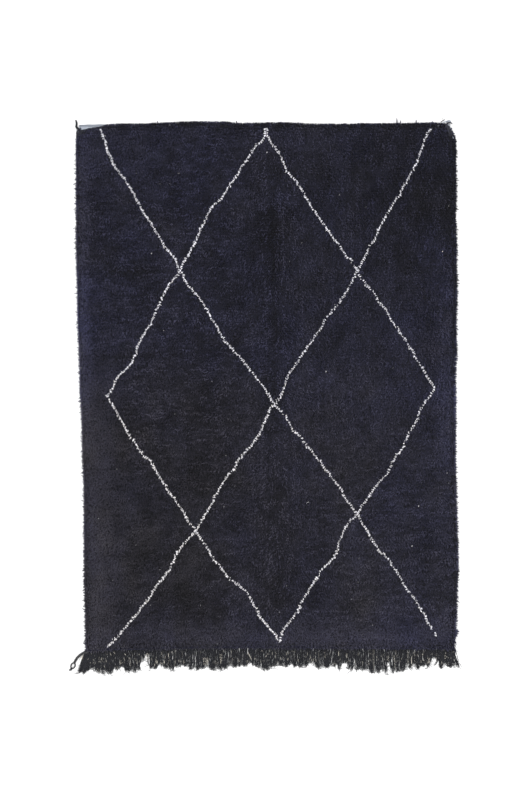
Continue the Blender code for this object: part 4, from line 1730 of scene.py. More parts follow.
# Bare ground and loose yarns at the far corners and pale places on the left edge.
CORNER_STRANDS = rows(
    Strand,
    ((76.2, 129.6), (76.8, 130.6), (76.6, 131.6), 0.0036, 0.45, 0.019),
    ((79.4, 129.0), (77.0, 130.6), (76.0, 134.0), 0.0060, 0.0, 0.007),
    ((79.6, 130.0), (77.6, 132.4), (76.0, 137.5), 0.0060, 0.0, 0.008),
    ((81.0, 129.6), (78.6, 132.0), (77.0, 137.0), 0.0060, 0.0, 0.010),
    ((82.4, 129.4), (80.2, 131.6), (78.4, 136.0), 0.0060, 0.0, 0.011),
    ((84.4, 129.2), (82.2, 131.0), (80.4, 135.0), 0.0060, 0.0, 0.012),
    ((86.6, 128.8), (84.6, 130.8), (83.0, 134.6), 0.0060, 0.0, 0.012),
    ((76.4, 142.3), (76.1, 143.3), (76.2, 144.5), 0.0030, 0.55, 0.010),
    ((76.3, 154.8), (76.0, 155.6), (76.2, 156.5), 0.0026, 0.50, 0.010),
    ((442.1, 122.5), (444.6, 121.9), (446.8, 120.3), 0.0036, 0.95, 0.007),
    ((440.8, 122.2), (442.9, 120.4), (445.4, 119.1), 0.0036, 0.0, 0.006),
    ((442.2, 118.7), (442.6, 118.3), (443.1, 118.0), 0.0026, 0.0, 0.004),
    ((446.4, 121.5), (449.0, 120.9), (451.5, 121.2), 0.0056, 0.62, 0.004),
    ((447.0, 120.6), (449.2, 120.1), (451.2, 120.5), 0.0040, 0.50, 0.004),
    ((447.6, 122.7), (450.0, 122.3), (452.2, 122.7), 0.0060, 0.0, 0.005),
    ((451.0, 122.4), (452.2, 122.8), (452.8, 123.9), 0.0036, 0.0, 0.004),
    ((448.0, 124.2), (449.2, 124.8), (450.4, 125.8), 0.0044, 0.60, 0.008),
    ((450.4, 127.2), (451.4, 128.3), (452.2, 129.6), 0.0044, 0.60, 0.008),
    ((447.2, 122.8), (449.2, 125.8), (450.9, 129.2), 0.0070, 0.0, 0.006),
    ((450.4, 128.8), (452.4, 132.6), (455.2, 137.9), 0.0075, 0.0, 0.006),
    ((452.8, 136.6), (453.3, 137.5), (453.6, 138.6), 0.0026, 0.60, 0.016),
    ((437.3, 125.9), (438.0, 126.1), (438.8, 126.0), 0.0014, 0.5, 0.026),
    ((446.2, 123.4), (449.8, 129.4), (452.6, 136.4), 0.0070, 0.0, 0.009),
    ((453.6, 134.4), (455.2, 139.0), (455.8, 144.0), 0.0070, 0.0, 0.009),
    ((445.0, 123.2), (448.0, 129.4), (450.4, 136.4), 0.0070, 0.0, 0.012),
)


@dataclass
class CornerYarns:
    """The bare hem at the far left corner, and the loose yarns of both far corners."""

    cloth: Cloth
    wefts: int = 7
    first_py: float = 124.6
    last_py: float = 128.9
    left_px: float = 79.2
    left_vary: float = 0.4
    left_lean: float = 1.2
    rim_px: tuple[float, float, float, float] = (104.0, 101.0, 96.7, 83.0)  # where the pile begins
    rim_py: tuple[float, float, float, float] = (124.4, 125.6, 126.6, 128.8)  # at these heights
    under_pile: float = 1.5  # how far the wefts run in under it, in pixels
    slope: float = 0.5  # how far the first weft rises to its right end, and how much of it the rest bends
    slope_left: float = 0.3
    slope_middle: float = 0.4
    sag: Pair = (-0.15, 0.1)
    warmth: Pair = (0.50, 1.0)  # of the first weft and of the last
    warmth_step: Pair = (1.6, -0.2)
    thick: float = 0.0040
    high: Pair = (0.0042, 0.0006)  # above the floor, and how much lower every other one lies
    crimps: Pair = (9.0, 14.0)
    crimp: float = 0.0004

    def build(self, finish: Material) -> Piece:
        """Makes the yarns.

        Args:
            finish: the hem's yarn.

        Returns:
            The piece.
        """
        rng = Seed.HEM.source()
        strands = list(CORNER_STRANDS)
        grey, pale = self.warmth
        steep, early = self.warmth_step
        for k in range(self.wefts):
            share = k / (self.wefts - 1)
            py = self.first_py + (self.last_py - self.first_py) * share
            right = float(np.interp(py, self.rim_py, self.rim_px)) + self.under_pile
            left = self.left_px + rng.uniform(-self.left_vary, self.left_vary) - self.left_lean * share
            slope = self.slope * (1.0 - share)
            warmth = grey + (pale - grey) * float(smooth(np.array(share * steep + early)))
            start, end = (left, py + slope * self.slope_left), (right, py - slope)
            middle = ((left + right) / 2.0, py + rng.uniform(*self.sag) - slope * self.slope_middle)
            high = self.high[0] - self.high[1] * (k % 2)
            strands.append(Strand(start, middle, end, self.thick, warmth, high))
        batch = strand_batch(self.cloth, strands)
        batch.waves[len(CORNER_STRANDS):] = rng.uniform(*self.crimps, self.wefts)
        batch.wave_tall[len(CORNER_STRANDS):] = self.crimp
        form = YarnForm(sides=5, rings=16, spread=1.0, tip=0.1, blunt=0.4)
        return form.spin("corner_yarns", batch, finish)


# The plait's way from its root, in metres, as in the part's drawing.
PLAIT_PATH = (
    (0.0, 0.0), (-0.006, -0.001), (-0.021, -0.009), (-0.036, -0.022), (-0.046, -0.036), (-0.053, -0.050),
)
PLAIT_STRANDS = rows(
    Strand,
    ((85.6, 653.8), (81.8, 656.3), (79.3, 659.0), 0.0010, 0.25, 0.004),
    ((79.3, 659.0), (79.2, 660.6), (80.0, 661.6), 0.0010, 0.25, 0.004),
    ((80.0, 661.6), (81.2, 661.9), (82.8, 660.9), 0.0010, 0.25, 0.004),
    ((84.4, 655.2), (82.0, 657.0), (80.2, 659.4), 0.0034, 1.0, 0.0019, 1.15),
    ((84.2, 656.6), (82.4, 658.2), (80.6, 660.6), 0.0034, 1.0, 0.0019, 1.15),
    ((83.6, 658.2), (82.4, 659.4), (81.2, 660.9), 0.0030, 1.0, 0.0019, 1.15),
    ((70.2, 669.0), (69.0, 670.0), (67.9, 670.8), 0.0018, 0.1, 0.004),
    ((70.4, 669.0), (69.6, 670.6), (69.9, 672.2), 0.0024, 0.0, 0.004),
    ((70.2, 669.4), (69.4, 670.6), (68.9, 671.9), 0.0022, 0.0, 0.003),
    ((70.6, 669.0), (70.6, 670.6), (70.9, 671.9), 0.0020, 0.0, 0.003),
    ((71.2, 668.6), (72.4, 669.3), (73.6, 669.4), 0.0012, 0.1, 0.003),
)


@dataclass
class CornerPlait:
    """The plaited tail at the fringe's left end, with its eye, its knot and its loose ends."""

    cloth: Cloth
    root: Pair = (-0.8143, -0.0151)
    inside: Pair = (0.012, 0.004)  # where it starts inside the rug, from its root
    high: float = 0.0046
    pitch: float = 0.0165
    weave_wide: float = 0.0034
    weave_tall: float = 0.0014
    strand: float = 0.0030
    points: int = 56
    shade: Pair = (0.9, 0.15)  # of the first strand, and how much lighter each next one is
    warmer: float = 0.03  # and how much warmer
    eye_long: float = 0.0125
    eye_wide: float = 0.0090
    eye_cord: float = 0.0027
    eye_ply: float = 0.0012  # how far its plies lie off its middle
    eye_slim: float = 0.85  # a ply's radius, of the cord's
    eye_up: float = 0.0004
    eye_turns: float = 8.0
    eye_points: int = 48
    eye_shade: float = 0.95
    eye_warmth: float = 0.02
    knot_long: float = 0.009
    knot_back: float = 0.002  # how far it reaches back over the eye
    knot_turns: float = 4.0
    knot_wide: float = 0.0032
    knot_tall: float = 0.0026
    knot_yarn: float = 0.0015
    knot_points: int = 44
    knot_shade: float = 1.05
    core: Pair = (0.0034, 0.0020)  # the bound ends' radius, tapering
    core_past: float = 0.004
    core_high: float = 0.0044
    core_points: int = 8
    core_shade: float = 0.7

    def build(self, finish: Material) -> Piece:
        """Makes the plait's cords.

        Args:
            finish: the warp's yarn.

        Returns:
            The piece.
        """
        x, y = self.cloth.place(*self.root)
        spots = [(x + dx, y + dy, self.high) for dx, dy in (self.inside, *PLAIT_PATH)]
        line = smooth_line(spots, self.points)
        heading = (line[-1] - line[-2]) / np.linalg.norm(line[-1] - line[-2])
        eye = line[-1] + heading * (self.eye_long - self.eye_cord / 2.0)
        knot = eye + heading * self.eye_long
        cords = [*self.stem(line), *self.eye(eye, heading), *self.knot(knot, heading)]
        return cord_piece("plait", cords, 6, finish)

    def stem(self, line: Array) -> list[Cord]:
        """The three strands of the stem, plaited flat.

        Args:
            line: the stem's middle line.

        Returns:
            The strands.
        """
        side = unit(np.cross(UP, np.gradient(line, axis=0)))
        shade, lighter = self.shade
        cords = []
        for k in range(3):
            angle = math.tau * (distances(line) / self.pitch + k / 3.0)
            strand = line + side * (np.sin(angle) * self.weave_wide)[:, None]
            strand[:, 2] += np.sin(2.0 * angle) * self.weave_tall
            cords.append(Cord(strand, self.strand, shade + lighter * k, self.warmer * k))
        return cords

    def eye(self, middle: Array, heading: Array) -> list[Cord]:
        """The eye: two plies twisted into an oval.

        Args:
            middle: the eye's middle.
            heading: the way that the tail runs there.

        Returns:
            The plies.
        """
        angle = np.arange(self.eye_points) / self.eye_points * math.tau
        along = np.outer(np.cos(angle) * self.eye_long, heading)
        oval = middle + along + np.outer(np.sin(angle) * self.eye_wide, np.cross(UP, heading))
        oval[:, 2] = self.eye_cord + self.eye_up
        radius = self.eye_cord * self.eye_slim
        look = {"shade": self.eye_shade, "warmth": self.eye_warmth}
        return twist(oval, self.eye_turns, self.eye_ply, radius, closed=True, **look)

    def knot(self, start: Array, heading: Array) -> list[Cord]:
        """The binding below the eye: a yarn wound around the loose ends.

        Args:
            start: where the eye ends.
            heading: the way that the tail runs there.

        Returns:
            The wound yarn, and the bound ends as one cord.
        """
        share = np.linspace(0.0, 1.0, self.knot_points)
        angle = share * math.tau * self.knot_turns
        middle = start - heading * self.knot_back + np.outer(share * self.knot_long, heading)
        coil = middle + np.outer(np.cos(angle) * self.knot_wide, np.cross(UP, heading))
        coil[:, 2] = self.high + np.sin(angle) * self.knot_tall
        half, end = middle[self.knot_points // 2], middle[-1] + heading * self.core_past
        core = smooth_line([middle[0], half, end], self.core_points)
        core[:, 2] = self.core_high
        bound = Cord(core, np.linspace(*self.core, self.core_points), self.core_shade)
        return [Cord(coil, self.knot_yarn, self.knot_shade), bound]

    def build_ends(self, finish: Material) -> Piece:
        """Makes the thread loop beside the stem and the knot's loose ends."""
        batch = strand_batch(self.cloth, PLAIT_STRANDS)
        return YarnForm(sides=4, rings=6, tip=0.2, blunt=0.3).spin("plait_ends", batch, finish)


# The tie's way in the cloth's own drawing, as in the part's.
TIE_PATH = (
    (-0.8443, 2.3461), (-0.8560, 2.3575), (-0.8562, 2.3665), (-0.8555, 2.3745), (-0.8568, 2.3820),
    (-0.8596, 2.3895),
)


@dataclass
class CornerTie:
    """The edge cord's loose end at the far left corner: two plies that taper to a point."""

    cloth: Cloth
    high: float = 0.0068
    drop: float = 0.0022  # how much lower its tip lies
    radius: float = 0.0050
    tip: float = 0.45  # thickness there over that at its root
    points: int = 34
    shade: float = 0.9
    turns: float = 5.0
    ply: float = 0.0017  # how far a ply lies off the middle

    def build(self, finish: Material) -> Piece:
        """Makes the tie.

        Args:
            finish: the warp's yarn.

        Returns:
            The piece.
        """
        line = smooth_line([(*self.cloth.place(x, y), self.high) for x, y in TIE_PATH], self.points)
        line[:, 2] -= np.linspace(0.0, self.drop, len(line))
        radius = self.radius * np.linspace(1.0, self.tip, len(line))
        cords = twist(line, self.turns, self.ply, radius, shade=self.shade)
        return cord_piece("tie", cords, 6, finish)


@dataclass
class GroundWeave:
    """The woven ground that carries the pile, one flat sheet with its hem bare at the far corners."""

    cloth: Cloth
    across: int = 44
    along: int = 60
    inset: float = 0.004
    underside: float = 0.0003
    lumps: Pair = (0.0004, 0.03)
    gather: float = -0.1  # how much closer the grid's lines lie at the edges
    last_row: float = 0.99

    def build(self, finish: Material) -> Piece:
        """Makes the sheet.

        Args:
            finish: the weave.

        Returns:
            The piece.
        """
        even = grid_shares(self.across, self.along)
        u, v = (share + np.sin(math.tau * share) * self.gather for share in even)
        x, y = self.cloth.at(u, v, self.inset)
        y = y + self.cloth.bare(x, y) * self.inset * (v > self.last_row)
        tall, wide = self.lumps
        top = self.cloth.ground_thick + tall * noise_field(x, y, wide, Layer.GROUND)
        piece = slab_piece("ground_weave", x, y, top, self.underside, (self.across, self.along))
        store_values(piece.data, "bare", np.tile(self.cloth.bare(x, y), 2))
        piece.data.materials.append(finish)
        return piece


@dataclass
class Lattice:
    """The diamonds: lines of ivory knots across the dark rows."""

    pile: Pile
    points: int = 400  # at which a side's line is worked out
    pitch: float = 0.0107  # between knots along the line
    pitch_vary: float = 0.16
    ends: float = 5.5  # of a usual knot
    ends_vary: float = 0.42
    between: float = 1.2  # ends between two knots
    bunch: float = 0.0036  # how far a knot's ends spread
    scatter: float = 0.0009  # and how far they stray along the line
    jog: float = 0.0019  # how far a knot stands off the line
    wobble: Pair = (0.0040, 0.05)  # how far the line itself strays from the charted one, and over what length
    odd_wide: float = 0.0075
    solid: float = 0.5  # weight of the line over which it takes dark knots away
    thick: Pair = (0.0027, 0.0043)
    lift: Pair = (-0.0015, 0.0030)
    share: float = 0.56  # how far the ends lie over, of the pile's reach
    back: float = 0.6  # how far back they stand for it, of that
    follow: float = 0.5  # how much the ends lie along the line rather than towards the fringe
    knot_turn: float = 0.5
    loose_turn: float = 0.65
    shade_vary: float = 0.16
    white: float = 0.02  # warmth of the ivory in the far half
    cream: float = 0.30  # and in the near one, most of all at the left
    warm_vary: float = 0.12

    def spots(self, rng: Random) -> tuple[Array, Array, Array]:
        """Where the ivory ends stand, for which the nearest dark knots are taken away.

        Args:
            rng: the lattice's random source.

        Returns:
            The ends' x and y, and the angle at which each lies.
        """
        found = [self.side_spots(side, course, rng) for side, course in enumerate(LATTICE)]
        return tuple(np.concatenate(found, axis=1))

    def side_spots(self, side: int, course: Course, rng: Random) -> Array:
        """The ends of one side of a diamond.

        Args:
            side: the side's number.
            course: its course.
            rng: the lattice's random source.

        Returns:
            Rows of the ends' x, y and angles.
        """
        cloth = self.pile.cloth
        spots = np.stack(cloth.pixel(*np.array(course.spots, float).T), axis=1)
        line = smooth_line(spots, self.points)
        gone = distances(line)
        half = np.arange(0.0, gone[-1], self.pitch / 2.0)
        count = len(half)
        at = half + rng.normal(0.0, self.pitch_vary * self.pitch, count)
        x, y = (np.interp(at, gone, values) for values in line.T)
        step_x, step_y = (np.interp(half + self.pitch, gone, v) - np.interp(half, gone, v) for v in line.T)
        is_knot = np.arange(count) % 2 == 0
        weight = self.weight(x, y)
        self.clear(x, y, is_knot & (weight > self.solid))
        usual = np.where(is_knot, self.ends, self.between) * weight * course.body
        usual = usual * np.exp(rng.normal(0.0, self.ends_vary, count))
        pick = np.repeat(np.arange(count), np.floor(usual + rng.random(count)).astype(int))
        stray, long = self.wobble
        wobble = stray * noise_field(half, np.full(count, float(side)), long, Layer.LATTICE)
        jog = (wobble + rng.normal(0.0, self.jog, count))[pick]
        aside = rng.uniform(-1.0, 1.0, len(pick)) * self.bunch * weight[pick] + jog
        along = rng.normal(0.0, self.scatter, len(pick))
        own_turn = rng.normal(0.0, self.knot_turn, count)[pick]
        own_turn = own_turn + rng.normal(0.0, self.loose_turn, len(pick))
        angle = np.arctan2(step_x, -step_y - 1e-6)[pick]
        end_x = x[pick] + np.cos(angle) * aside + np.sin(angle) * along
        end_y = y[pick] + np.sin(angle) * aside - np.cos(angle) * along
        return np.stack([end_x, end_y, angle * self.follow + own_turn])

    def weight(self, x: Array, y: Array) -> Array:
        """How heavy the line is.

        Args:
            x: places across.
            y: places along.

        Returns:
            The weight at each place, which is 1 but near the charted odd knots.
        """
        weight = np.ones_like(x)
        for odd in ODD_KNOTS:
            odd_x, odd_y = self.pile.cloth.pixel(odd.px, odd.py)
            weight += (odd.weight - 1.0) * np.exp(-((x - odd_x) ** 2 + (y - odd_y) ** 2) / self.odd_wide**2)
        return np.clip(weight, 0.0, None)

    def clear(self, x: Array, y: Array, solid: Array) -> None:
        """Takes dark knots away.

        Args:
            x: places across.
            y: places along.
            solid: at which of them the line is solid, so that the nearest knot goes.
        """
        pile = self.pile
        u, v = pile.cloth.shares(x[solid], y[solid])
        row = np.clip((v * pile.rows).astype(int), 0, pile.rows - 1)
        column = np.round(u * pile.columns - 0.5 - pile.shift(row)).astype(int)
        pile.taken[row, np.clip(column, 0, pile.columns - 1)] = True

    def build(self, finish: Material) -> Piece:
        """Makes the lattice's yarn ends.

        Args:
            finish: the ivory wool.

        Returns:
            The piece.
        """
        rng = Seed.LATTICE.source()
        pile = self.pile
        x, y, turn = self.spots(rng)
        reach = float(np.mean(pile.reach)) * self.share * self.back
        x, y = x - np.sin(turn) * reach, y + np.cos(turn) * reach
        lift = rng.uniform(*self.lift, len(x))
        batch = pile.ends(x, y, rng, turn, lift, loose=0.0, share=self.share)
        batch.thick = rng.uniform(*self.thick, len(x))
        batch.shade = np.exp(rng.normal(0.0, self.shade_vary, len(x)))
        warmth = self.white + (self.cream - self.white) * pile.hue(x, y) / (pile.navy + pile.faded)
        batch.warmth = np.clip(warmth + self.warm_vary * rng.normal(size=len(x)), 0.0, 1.0)
        form = YarnForm(sides=3, rings=2, spread=0.7, tip=0.35, blunt=0.25)
        return form.spin("lattice_knots", batch, finish)


class Speck(NamedTuple):
    """A stray pale fibre on the pile: its pixel, its length in pixels and its angle in degrees."""

    px: float
    py: float
    long: float
    angle: float
    thick: float  # in millimetres


SPECKS = rows(
    Speck,
    (169.7, 125.0, 1.2, 30, 1.6), (267.0, 152.4, 1.4, 80, 2.6), (136.5, 173.4, 1.0, 0, 1.4),
    (179.0, 173.4, 2.2, 5, 1.5), (160.0, 184.0, 1.6, 10, 1.2), (170.0, 184.0, 1.6, 170, 1.2),
    (339.3, 195.0, 1.2, 60, 1.8), (366.0, 207.0, 1.0, 40, 1.4), (448.7, 206.0, 1.2, 90, 1.8),
    (301.7, 243.0, 1.1, 20, 1.6), (442.5, 251.5, 1.2, 70, 3.0), (151.5, 253.4, 1.3, 60, 2.4),
    (289.5, 261.5, 1.0, 100, 1.5), (163.8, 330.5, 1.2, 45, 1.7), (81.0, 368.0, 1.2, 90, 1.8),
    (393.0, 368.0, 1.0, 30, 1.5), (326.0, 371.5, 1.4, 80, 2.8), (212.0, 381.7, 1.2, 120, 1.6),
    (175.0, 414.0, 1.0, 10, 1.5), (226.0, 455.5, 1.2, 75, 1.7), (117.0, 469.0, 1.1, 50, 1.6),
    (447.0, 473.0, 1.2, 90, 1.8), (448.7, 483.0, 1.0, 80, 1.5), (235.0, 486.0, 1.0, 20, 1.5),
    (224.0, 506.6, 1.2, 60, 1.7), (418.6, 506.0, 1.4, 85, 2.8), (98.6, 518.5, 1.2, 0, 1.8),
    (136.0, 545.0, 1.0, 40, 1.5), (412.0, 546.0, 1.4, 70, 2.7), (359.0, 558.0, 1.0, 20, 1.5),
    (160.0, 569.6, 1.1, 0, 1.6), (113.0, 580.0, 1.1, 30, 1.5), (358.0, 582.0, 1.1, 75, 1.6),
    (286.8, 585.6, 1.1, 60, 1.6), (351.7, 599.0, 1.1, 90, 1.6), (150.4, 605.0, 1.1, 20, 1.6),
    (200.6, 605.0, 1.1, 60, 1.6), (279.4, 612.4, 1.2, 80, 1.7), (372.5, 625.0, 1.1, 75, 1.6),
    (217.4, 644.0, 1.1, 10, 1.6),
)
LONG_FIBRE = Strand((306.4, 503.4), (308.0, 502.0), (309.8, 503.0), 0.0011, 0.2, 0.002)


@dataclass
class Specks:
    """Stray pale fibres caught in the pile."""

    cloth: Cloth
    high: float = 0.0015
    warmth: float = 0.2
    faint: float = 0.25  # lightness of the finest
    finest: Pair = (0.9, 1.5)  # thickness at which they would vanish, and how much more makes them bright

    def build(self, finish: Material) -> Piece:
        """Makes the fibres.

        Args:
            finish: the ivory wool.

        Returns:
            The piece.
        """
        strands = [LONG_FIBRE]
        least, more = self.finest
        for speck in SPECKS:
            across = math.cos(math.radians(speck.angle)) * speck.long / 2.0
            up = math.sin(math.radians(speck.angle)) * speck.long / 2.0
            start, end = (speck.px - across, speck.py + up), (speck.px + across, speck.py - up)
            shade = min(1.0, max(self.faint, (speck.thick - least) / more))
            middle = (speck.px, speck.py)
            strands.append(Strand(start, middle, end, speck.thick / 1000.0, self.warmth, self.high, shade))
        batch = strand_batch(self.cloth, strands, on_pile=True)
        return YarnForm(sides=4, rings=3, tip=0.3, blunt=0.3).spin("stray_fibres", batch, finish)


class Lock(NamedTuple):
    """A lock of the fringe: where its tip ends in the photograph and how wide it is, in pixels."""

    px: float
    py: float
    wide: float


class Gap(NamedTuple):
    """Bare floor between two locks: from where to where, and how far up it reaches, in pixels."""

    left: float
    right: float
    top: float


LOCKS = rows(
    Lock,
    (79.5, 673.0, 2.5), (84.5, 674.8, 3.0), (87.5, 671.0, 2.0), (95.0, 671.5, 3.0), (96.6, 673.3, 1.0),
    (101.5, 674.0, 1.0), (105.0, 671.5, 4.0), (109.5, 674.0, 3.5), (116.0, 670.3, 2.5), (121.0, 667.0, 4.0),
    (126.0, 671.5, 2.0), (129.5, 672.2, 3.0), (134.3, 672.8, 1.5), (138.0, 671.0, 3.0), (140.5, 672.8, 0.8),
    (150.5, 668.8, 2.0), (155.5, 669.6, 2.0), (164.0, 669.4, 3.0), (168.0, 669.0, 2.0), (171.8, 670.8, 2.0),
    (175.0, 667.5, 2.0), (179.0, 667.5, 2.0), (184.0, 666.5, 4.0), (192.0, 669.5, 3.5), (199.5, 670.0, 3.5),
    (205.0, 668.8, 2.0), (212.0, 670.3, 6.0), (219.0, 671.0, 2.0), (224.5, 668.6, 5.0), (235.0, 667.2, 6.0),
    (240.0, 667.3, 3.0), (246.0, 667.6, 1.5), (253.5, 665.7, 2.0), (256.0, 667.0, 2.0), (258.5, 668.6, 2.0),
    (262.0, 669.5, 2.0), (264.0, 671.0, 1.5), (266.5, 670.0, 2.0), (271.0, 667.6, 2.0), (275.0, 666.8, 3.0),
    (281.0, 666.0, 4.0), (287.0, 666.5, 3.0), (291.0, 666.5, 2.0), (295.0, 668.2, 2.0), (298.0, 667.5, 2.0),
    (303.0, 666.8, 1.5), (306.0, 667.2, 2.0), (315.5, 666.5, 2.0), (318.3, 669.2, 3.0), (326.5, 668.3, 2.0),
    (330.5, 667.7, 2.5), (336.0, 667.0, 1.5), (340.2, 670.2, 1.5), (350.0, 669.6, 2.0), (351.8, 670.5, 1.0),
    (360.0, 669.4, 3.0), (364.3, 670.6, 0.8), (372.5, 673.1, 3.0), (376.6, 673.8, 1.0), (381.0, 671.3, 2.0),
    (384.5, 674.3, 2.0), (394.2, 673.4, 2.0), (397.7, 672.2, 1.5), (403.5, 671.4, 4.0), (410.5, 668.7, 1.8),
    (418.0, 669.8, 2.0), (422.5, 666.7, 4.0), (429.5, 667.4, 3.0), (437.5, 669.5, 1.0), (440.5, 669.8, 1.5),
    (443.5, 666.5, 2.0), (449.5, 667.2, 4.0), (452.0, 666.6, 2.0), (456.8, 667.6, 1.2),
)
GAPS = rows(
    Gap,
    (89.5, 92.5, 669.0), (99.7, 100.3, 669.0), (113.6, 114.4, 666.8), (118.0, 119.0, 666.5),
    (123.0, 124.0, 666.5), (139.6, 141.6, 663.0), (141.6, 143.8, 659.0), (143.8, 149.8, 655.5),
    (158.0, 161.0, 666.5), (195.6, 196.4, 666.0), (207.4, 208.4, 661.0), (220.0, 220.6, 664.9),
    (229.6, 230.4, 663.5), (247.5, 252.5, 664.0), (308.0, 314.0, 663.3), (322.6, 323.4, 665.0),
    (333.6, 334.4, 664.5), (341.4, 348.5, 664.0), (355.0, 355.7, 662.0), (362.2, 363.4, 663.0),
    (378.0, 378.8, 667.0), (386.0, 391.0, 663.5), (395.2, 395.6, 658.0), (407.2, 409.4, 665.0),
    (412.2, 415.0, 664.6), (426.2, 427.0, 665.6), (430.2, 432.2, 662.5), (432.2, 437.8, 658.0),
    (437.8, 439.8, 661.5), (441.8, 442.2, 661.0),
)
class Glimpse(NamedTuple):
    """A pale yarn that shows in the fringe: the pixels where it starts and ends."""

    px: float
    py: float
    end_px: float
    end_py: float
    thick: float  # in millimetres
    pale: float  # 1 for undyed wool


GLIMPSES = rows(
    Glimpse,
    (93.4, 659.5, 93.4, 665.0, 1.8, 0.7), (101.4, 657.5, 101.4, 661.0, 1.6, 0.6),
    (156.0, 657.5, 155.5, 663.5, 1.8, 0.7), (161.5, 652.5, 161.6, 655.5, 1.8, 0.7),
    (164.0, 661.0, 164.1, 664.2, 2.6, 1.0), (168.3, 653.5, 168.3, 658.0, 2.6, 1.0),
    (168.3, 658.0, 168.1, 667.5, 1.6, 0.5), (178.9, 660.0, 178.9, 663.0, 1.7, 0.7),
    (183.5, 660.5, 183.5, 663.5, 1.7, 0.7), (203.5, 659.0, 203.8, 666.0, 2.6, 0.8),
    (205.2, 658.5, 205.0, 666.5, 2.8, 0.9), (206.8, 659.0, 207.2, 666.5, 3.0, 1.0),
    (220.0, 654.5, 220.3, 664.0, 2.8, 0.85), (221.3, 655.0, 221.0, 665.0, 2.6, 0.8),
    (223.3, 650.0, 223.3, 652.2, 1.8, 0.7), (231.3, 650.8, 231.3, 653.4, 1.8, 0.7),
    (232.3, 658.5, 232.4, 661.5, 1.8, 0.7), (238.5, 659.5, 238.5, 662.5, 1.8, 0.7),
    (248.0, 653.0, 252.0, 661.0, 2.6, 1.0), (261.2, 651.3, 262.9, 651.4, 2.0, 0.8),
    (269.3, 650.3, 269.3, 652.8, 1.8, 0.7), (272.3, 652.5, 272.3, 655.5, 1.8, 0.7),
    (275.5, 656.0, 275.6, 659.0, 1.8, 0.7), (277.3, 662.0, 277.4, 665.0, 1.8, 0.7),
    (280.7, 658.0, 280.7, 661.0, 1.8, 0.7), (286.5, 652.8, 286.6, 656.0, 1.8, 0.8),
    (298.3, 659.5, 298.3, 662.5, 1.8, 0.7), (307.5, 653.0, 307.6, 656.0, 1.8, 0.7),
    (310.5, 656.0, 310.4, 658.8, 1.9, 0.8), (316.0, 659.5, 316.1, 662.5, 1.8, 0.7),
    (338.8, 652.0, 338.7, 656.5, 2.8, 1.0), (347.0, 654.0, 347.0, 658.0, 2.8, 1.0),
    (355.3, 661.0, 355.3, 665.0, 2.0, 0.9), (358.3, 653.0, 358.3, 656.0, 1.8, 0.7),
    (387.4, 656.5, 387.2, 662.0, 2.2, 0.8), (388.6, 656.0, 388.7, 662.5, 2.2, 0.8),
    (394.6, 656.0, 394.9, 669.0, 2.2, 0.9), (396.0, 651.0, 397.3, 657.0, 1.9, 0.8),
    (408.2, 652.5, 407.9, 664.0, 1.9, 0.8), (411.7, 657.0, 411.8, 665.0, 2.6, 1.0),
    (414.0, 652.5, 414.0, 654.5, 1.8, 0.7), (418.0, 654.5, 418.0, 656.6, 1.8, 0.7),
    (421.2, 660.5, 421.3, 663.5, 1.8, 0.7), (424.0, 651.0, 424.0, 653.2, 1.8, 0.7),
    (428.4, 658.0, 428.8, 664.0, 2.4, 0.9), (429.6, 658.5, 429.6, 664.5, 2.4, 0.9),
    (445.5, 653.0, 445.4, 660.5, 2.6, 0.9), (442.0, 661.5, 442.1, 665.0, 1.9, 0.8),
    (145.0, 654.5, 144.9, 660.0, 3.0, 0.70), (146.2, 653.8, 146.1, 661.0, 3.0, 0.78),
    (147.3, 653.6, 147.2, 661.4, 3.0, 0.78), (148.5, 654.2, 148.4, 660.6, 3.0, 0.70),
    (87.0, 652.6, 88.4, 653.0, 1.8, 0.8), (98.6, 657.0, 99.4, 663.0, 1.8, 0.45),
    (100.4, 659.0, 100.0, 664.0, 1.8, 0.45), (102.6, 658.0, 102.2, 663.5, 1.6, 0.4),
    (105.6, 660.0, 106.6, 663.0, 2.2, 0.6), (103.6, 666.0, 104.6, 668.2, 2.2, 0.7),
    (109.6, 653.0, 110.6, 656.2, 2.0, 0.35), (119.6, 660.0, 119.4, 666.0, 2.4, 0.6),
    (120.8, 660.5, 120.6, 666.0, 2.4, 0.65), (123.4, 658.0, 124.6, 661.2, 2.4, 0.5),
    (128.6, 658.0, 129.0, 664.0, 2.0, 0.45), (130.2, 660.0, 129.6, 668.0, 2.2, 0.55),
    (131.6, 653.0, 132.6, 657.2, 2.0, 0.5), (116.8, 667.0, 117.4, 669.2, 2.2, 0.6),
    (151.4, 658.0, 151.8, 661.0, 2.2, 0.4), (155.8, 661.0, 156.2, 664.2, 3.0, 0.8),
    (157.2, 661.0, 157.0, 664.0, 3.0, 0.8), (154.5, 664.0, 154.3, 667.2, 2.2, 0.7),
    (165.0, 656.0, 165.1, 659.2, 2.0, 0.7), (175.0, 650.4, 175.1, 653.2, 1.8, 0.6),
    (175.0, 661.0, 175.0, 664.2, 1.9, 0.7),
)
